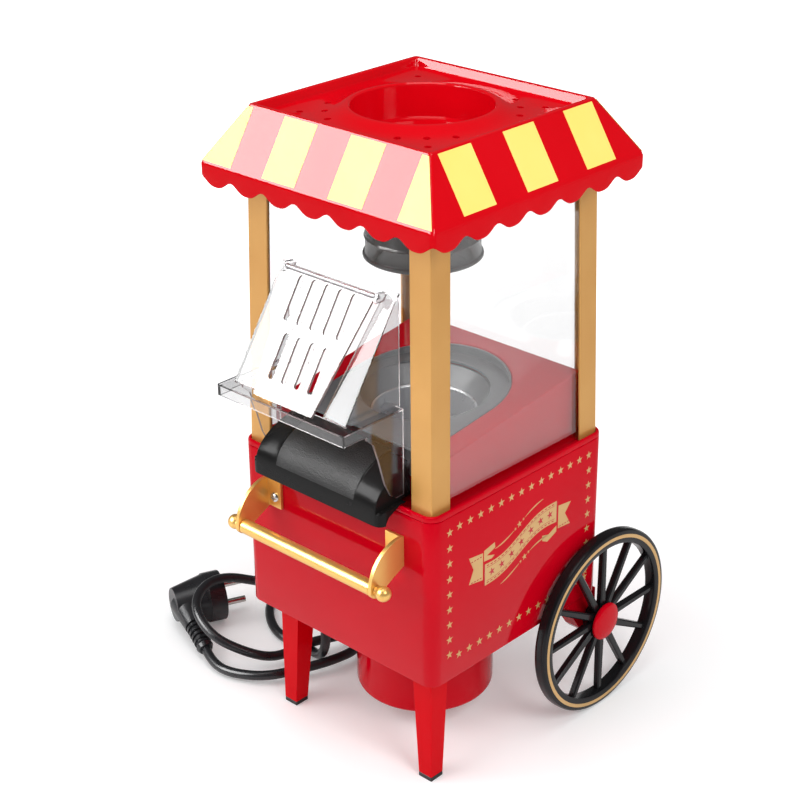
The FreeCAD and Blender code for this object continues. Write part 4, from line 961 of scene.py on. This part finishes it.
def make_chute():
    """Black slide: a broad front band and a convex panel between creased flanks."""
    tall = [(-99.0, 194.6), (-99.0, 201.6), (-98.6, 206.0), (-97.2, 210.8), (-94.4, 215.4),
            (-90.4, 219.4), (-84.8, 223.0), (-78.0, 226.0), (-70.6, 228.1), (-66.4, 228.4)]
    low = [(-99.0, 194.6), (-99.0, 201.2), (-98.4, 202.6), (-97.0, 203.6), (-94.4, 204.0),
           (-90.4, 204.1), (-86.4, 204.3), (-83.6, 204.5), (-80.0, 204.6), (-77.0, 204.6)]
    under = [(-66.4, 204.6), (-82.0, 204.6), (-91.6, 199.6), (-94.5, 196.0)]
    low_under = [(-77.0, 204.2), (-82.0, 204.2), (-91.6, 199.6), (-94.5, 196.0)]
    stations = [(-56.2, 5.0, 0), (-55.4, 2.6, 0), (-53.6, 0.9, 0), (-51.9, 0.25, 0),
                (-51.6, 0.2, 0.80), (-51.1, 0.1, 0.88), (-50.2, 0.0, 0.905), (-44, 0, 0.93),
                (-38, 0, 0.945), (-34.8, 0, 0.952), (-34.3, 0, 0.965), (-34.0, 0, 0.99),
                (-33.5, 0, 1.0), (-26, 0, 1.012), (-14, 0, 1.018), (0, 0, 1.02)]
    stations += [(-x, pull, share) for x, pull, share in stations[-2::-1]]
    front, panel_half, panel_foot = -99.0, 33.6, 204
    rings = []
    for x, pull, share in stations:
        ring = []
        for (y0, z0), (y1, z1) in zip(low + low_under, tall + under):
            y, z = y0 + (y1 - y0) * min(share, 1), z0 + (z1 - z0) * share
            ring.append((x, max(y, front + pull), z))
        rings.append(ring)
    bm = stack(rings, low_cap="flat", high_cap="flat")
    for face in bm.faces:
        middle = face.calc_center_median() / MM
        inside = abs(middle.x) < panel_half and middle.z > panel_foot
        face.material_index = 0 if inside else 1
    item = add("chute", bm, (CHUTE_BLACK, CHUTE_SMOOTH), smooth=20)
    attach(item, "cart", "black_plastic", "chute_deck")


def make_chamber():
    """Dark tray, aluminium cup and the parts of the heater below it."""
    soften("chamber_tray", TRAY_GREY, 0.4)
    dress("popping_chamber", ALUMINIUM)
    low, high = span("popping_chamber")
    radius, top = (high.x - low.x) / 2, high.z
    rim = [(radius - 1.0, top - 2.0), (radius - 1.2, top - 0.6), (radius - 0.8, top + 0.2),
           (radius - 0.1, top + 0.4), (radius + 0.5, top + 0.1), (radius + 0.6, top - 0.6),
           (radius + 0.05, top - 1.0)]
    item = add("cup_rolled_rim", turned_ring(rim, steps=96), ALUMINIUM)
    attach(item, "cart", "aluminium")
    for node, material in (("heater_duct", ZINC), ("heater_frame", MICA), ("heating_coil", ZINC),
                           ("thermal_cutout", ZINC), ("rectifier_board", BOARD),
                           ("motor_bridge", BLACK), ("fan_motor", ZINC), ("fan_impeller", BLACK)):
        dress(node, material)


# ---------------------------------------------------------------- fan housing, wheels

def make_drum():
    """Turned fan housing with a rounded foot and an intake grille."""
    low, high = span("fan_housing")
    radius, foot, head = 46.3, low.z, high.z
    profile = [(radius - 2.0, head - 0.2), (radius - 2.0, foot + 4.2), (radius - 3.0, foot + 2.9),
               (radius - 4.4, foot + 2.6), (4.0, foot + 2.6), (4.0, foot),
               (radius - 3.6, foot), (radius - 2.2, foot + 0.3), (radius - 1.0, foot + 1.0),
               (radius - 0.3, foot + 2.2), (radius, foot + 3.6), (radius, head - 0.8),
               (radius - 0.6, head - 0.2)]
    drum = add("fan_drum", turned_ring(profile, steps=144), RED)
    half_slot, half_web, steps = 1.5, 2.5, 12
    slots = []
    for middle in (12, 20, 28, 36):
        gap = math.asin(half_web / middle)
        for quarter in range(4):
            start = math.radians(90 * quarter) + gap
            stop = math.radians(90 * quarter + 90) - gap
            angles = [start + (stop - start) * k / steps for k in range(steps + 1)]
            outline = []
            for reach, turn in ((middle + half_slot, 1), (middle - half_slot, -1)):
                outline += [(reach * math.cos(angle), reach * math.sin(angle))
                            for angle in angles[::turn]]
            slots.append(prism(outline, AXES["z"], foot - 2, foot + 5))
    cut_away(drum, slots)
    shade(drum)
    attach(drum, "cart", "glossy_red", "fan_housing")


def make_wheels():
    """Spoked wheels with a gold line, red domed caps, and the axle between them."""
    for side, sign in SIDES.items():
        node = f"wheel_{side}"
        low, high = span(node)
        centre = (low + high) / 2
        rim, inner = (high.z - low.z) / 2, 55.4
        outer_x, inner_x, hub_x = 94.0, 85.0, 82.6
        loop = [(inner, inner_x + 1.2), (inner + 0.4, inner_x + 0.4), (inner + 1.2, inner_x),
                (rim - 2.2, inner_x), (rim - 0.8, inner_x + 0.6), (rim - 0.1, inner_x + 1.8),
                (rim, inner_x + 3.0), (rim, outer_x - 3.0), (rim - 0.1, outer_x - 1.8),
                (rim - 0.8, outer_x - 0.6), (rim - 2.2, outer_x - 0.05), (62.0, outer_x),
                (59.4, outer_x), (inner + 1.4, outer_x), (inner + 0.4, outer_x - 0.4),
                (inner, outer_x - 1.4)]
        place = (0, centre.y, centre.z)
        bm = turned_ring([(r, sign * x) for r, x in loop], place, "x", 160)
        join_spokes(bm, sign, centre, inner, outer_x)
        hub = [(3.05, hub_x), (9.6, hub_x), (10.7, hub_x + 0.5), (11.0, hub_x + 1.4),
               (11.0, outer_x - 2.4), (10.6, outer_x - 1.4), (9.6, outer_x - 1.0),
               (3.05, outer_x - 1.0)]
        merge(bm, turned_ring([(r, sign * x) for r, x in hub], place, "x", 64))
        wheel = add(f"{node}_spoked", bm, BLACK, smooth=30)
        attach(wheel, node, "gloss_black", node)
        line = [(59.5, outer_x - 0.1), (59.5, outer_x + 0.10), (61.9, outer_x + 0.10),
                (61.9, outer_x - 0.1)]
        ring = add(f"{node}_gold_line",
                   turned_ring([(r, sign * x) for r, x in line], place, "x", 160), PRINT_GOLD)
        attach(ring, node, "gold_post")
        cap = [(13.0, outer_x - 0.9), (13.2, outer_x - 0.2), (13.0, outer_x + 0.5),
               (12.2, outer_x + 1.2), (10.4, outer_x + 1.8), (7.0, outer_x + 2.25),
               (3.4, outer_x + 2.45)]
        dome = add(f"{node}_cap", turned([(0.01, sign * (outer_x - 0.9))]
                                         + [(r, sign * x) for r, x in cap]
                                         + [(0.01, sign * (outer_x + 2.5))], place, "x", 72), RED)
        attach(dome, node, "glossy_red", f"hub_cap_{side}")
    dress("wheel_axle", ZINC)
    dress("axle_washers", ZINC)


def join_spokes(bm, sign, centre, inner, outer_x):
    """Twelve tapered spokes with chamfered edges, from hub to rim."""
    near, far, count = 8.5, inner + 0.8, 12
    deep, soft = 2.35, 0.8
    for k in range(count):
        angle = 2 * math.pi * k / count
        along = Vector((0, -math.sin(angle), math.cos(angle)))
        across = Vector((0, math.cos(angle), math.sin(angle)))
        rings = []
        for reach, half in ((near, 2.75), (16.0, 2.5), (far, 2.0)):
            section = [(-half, -deep + soft), (-half + soft, -deep), (half - soft, -deep),
                       (half, -deep + soft), (half, deep - soft), (half - soft, deep),
                       (-half + soft, deep), (-half, deep - soft)]
            ring = []
            for a, b in section:
                spot = Vector((sign * (outer_x - 4.6) + b, centre.y, centre.z))
                spot += along * reach + across * a
                ring.append(tuple(spot))
            rings.append(ring)
        merge(bm, stack(rings, low_cap="flat", high_cap="flat"))


# ---------------------------------------------------------------- handle and small parts

def make_handle():
    """Gold bar between curved brackets, with ball finials and cross-head screws."""
    low, high = span("handle_bar")
    y, z = (low.y + high.y) / 2, (low.z + high.z) / 2
    radius, half = (high.z - low.z) / 2, high.x
    bar = [(0.01, -half), (radius - 0.7, -half), (radius, -half + 0.7), (radius, half - 0.7),
           (radius - 0.7, half), (0.01, half)]
    item = add("handle_grip", turned(bar, (0, y, z), "x", 64), HANDLE_GOLD)
    attach(item, "cart", "gold_post", "handle_bar")
    for side in SIDES:
        soften(f"handle_bracket_{side}", HANDLE_GOLD, 0.35, 2)
    bm = bmesh.new()
    for sign in (-1, 1):
        ball, ball_at, neck, steps = 4.9, 65.2, 52, 12
        profile = [(2.3, half - 4), (2.3, 59.7), (3.3, 59.75), (3.5, 60.2), (3.3, 60.9)]
        for k in range(1, steps + 1):
            angle = math.radians(-neck + (90 + neck) * k / steps)
            profile.append((max(ball * math.cos(angle), 0.01), ball_at + ball * math.sin(angle)))
        merge(bm, turned([(r, sign * x) for r, x in profile], (0, y, z), "x", 48))
    item = add("handle_balls", bm, HANDLE_GOLD, smooth=45)
    attach(item, "cart", "gold_post", "handle_finials")
    make_handle_screws()


def make_handle_screws():
    """Domed cross-head screws in the brackets' flanges."""
    low, high = span("handle_screws")
    face = -BASE_HALF - 2.0
    head = 3.2
    x, z = high.x - head, (low.z + high.z) / 2
    bm = bmesh.new()
    for sign in (-1, 1):
        profile = [(1.5, high.y), (1.5, face), (head, face - 0.05), (3.1, face - 0.7),
                   (2.6, face - 1.3), (1.7, face - 1.7), (0.8, face - 1.85), (0.01, face - 1.9)]
        merge(bm, turned(profile, (sign * x, 0, z), "y", 40))
    screws = add("handle_screw_pair", bm, ZINC, smooth=40)
    arm, slit = 1.9, 0.32
    corner = [(slit, arm), (slit, slit), (arm, slit)]
    cross = []
    for k in range(4):
        for a, b in corner:
            for _ in range(k):
                a, b = b, -a
            cross.append((a, b))
    slots = [prism([(sign * x + a, z + b) for a, b in cross], AXES["y"], face - 3, face - 1.0)
             for sign in (-1, 1)]
    cut_away(screws, slots)
    shade(screws, 35)
    attach(screws, "cart", "zinc_steel", "handle_screws")


def make_switch():
    """Rocker switch in its frame."""
    soften("switch_bezel", BLACK, 0.4)
    soften("switch_rocker", RED, 0.5)


make_camera()
make_studio()
make_cord()
make_shell()
make_tray()
make_base_fittings()
make_border()
make_ribbon()
make_stitching()
make_rules()
make_house()
make_roof()
make_stripes()
make_deflector()
make_chute()
make_chamber()
make_drum()
make_wheels()
make_handle()
make_switch()
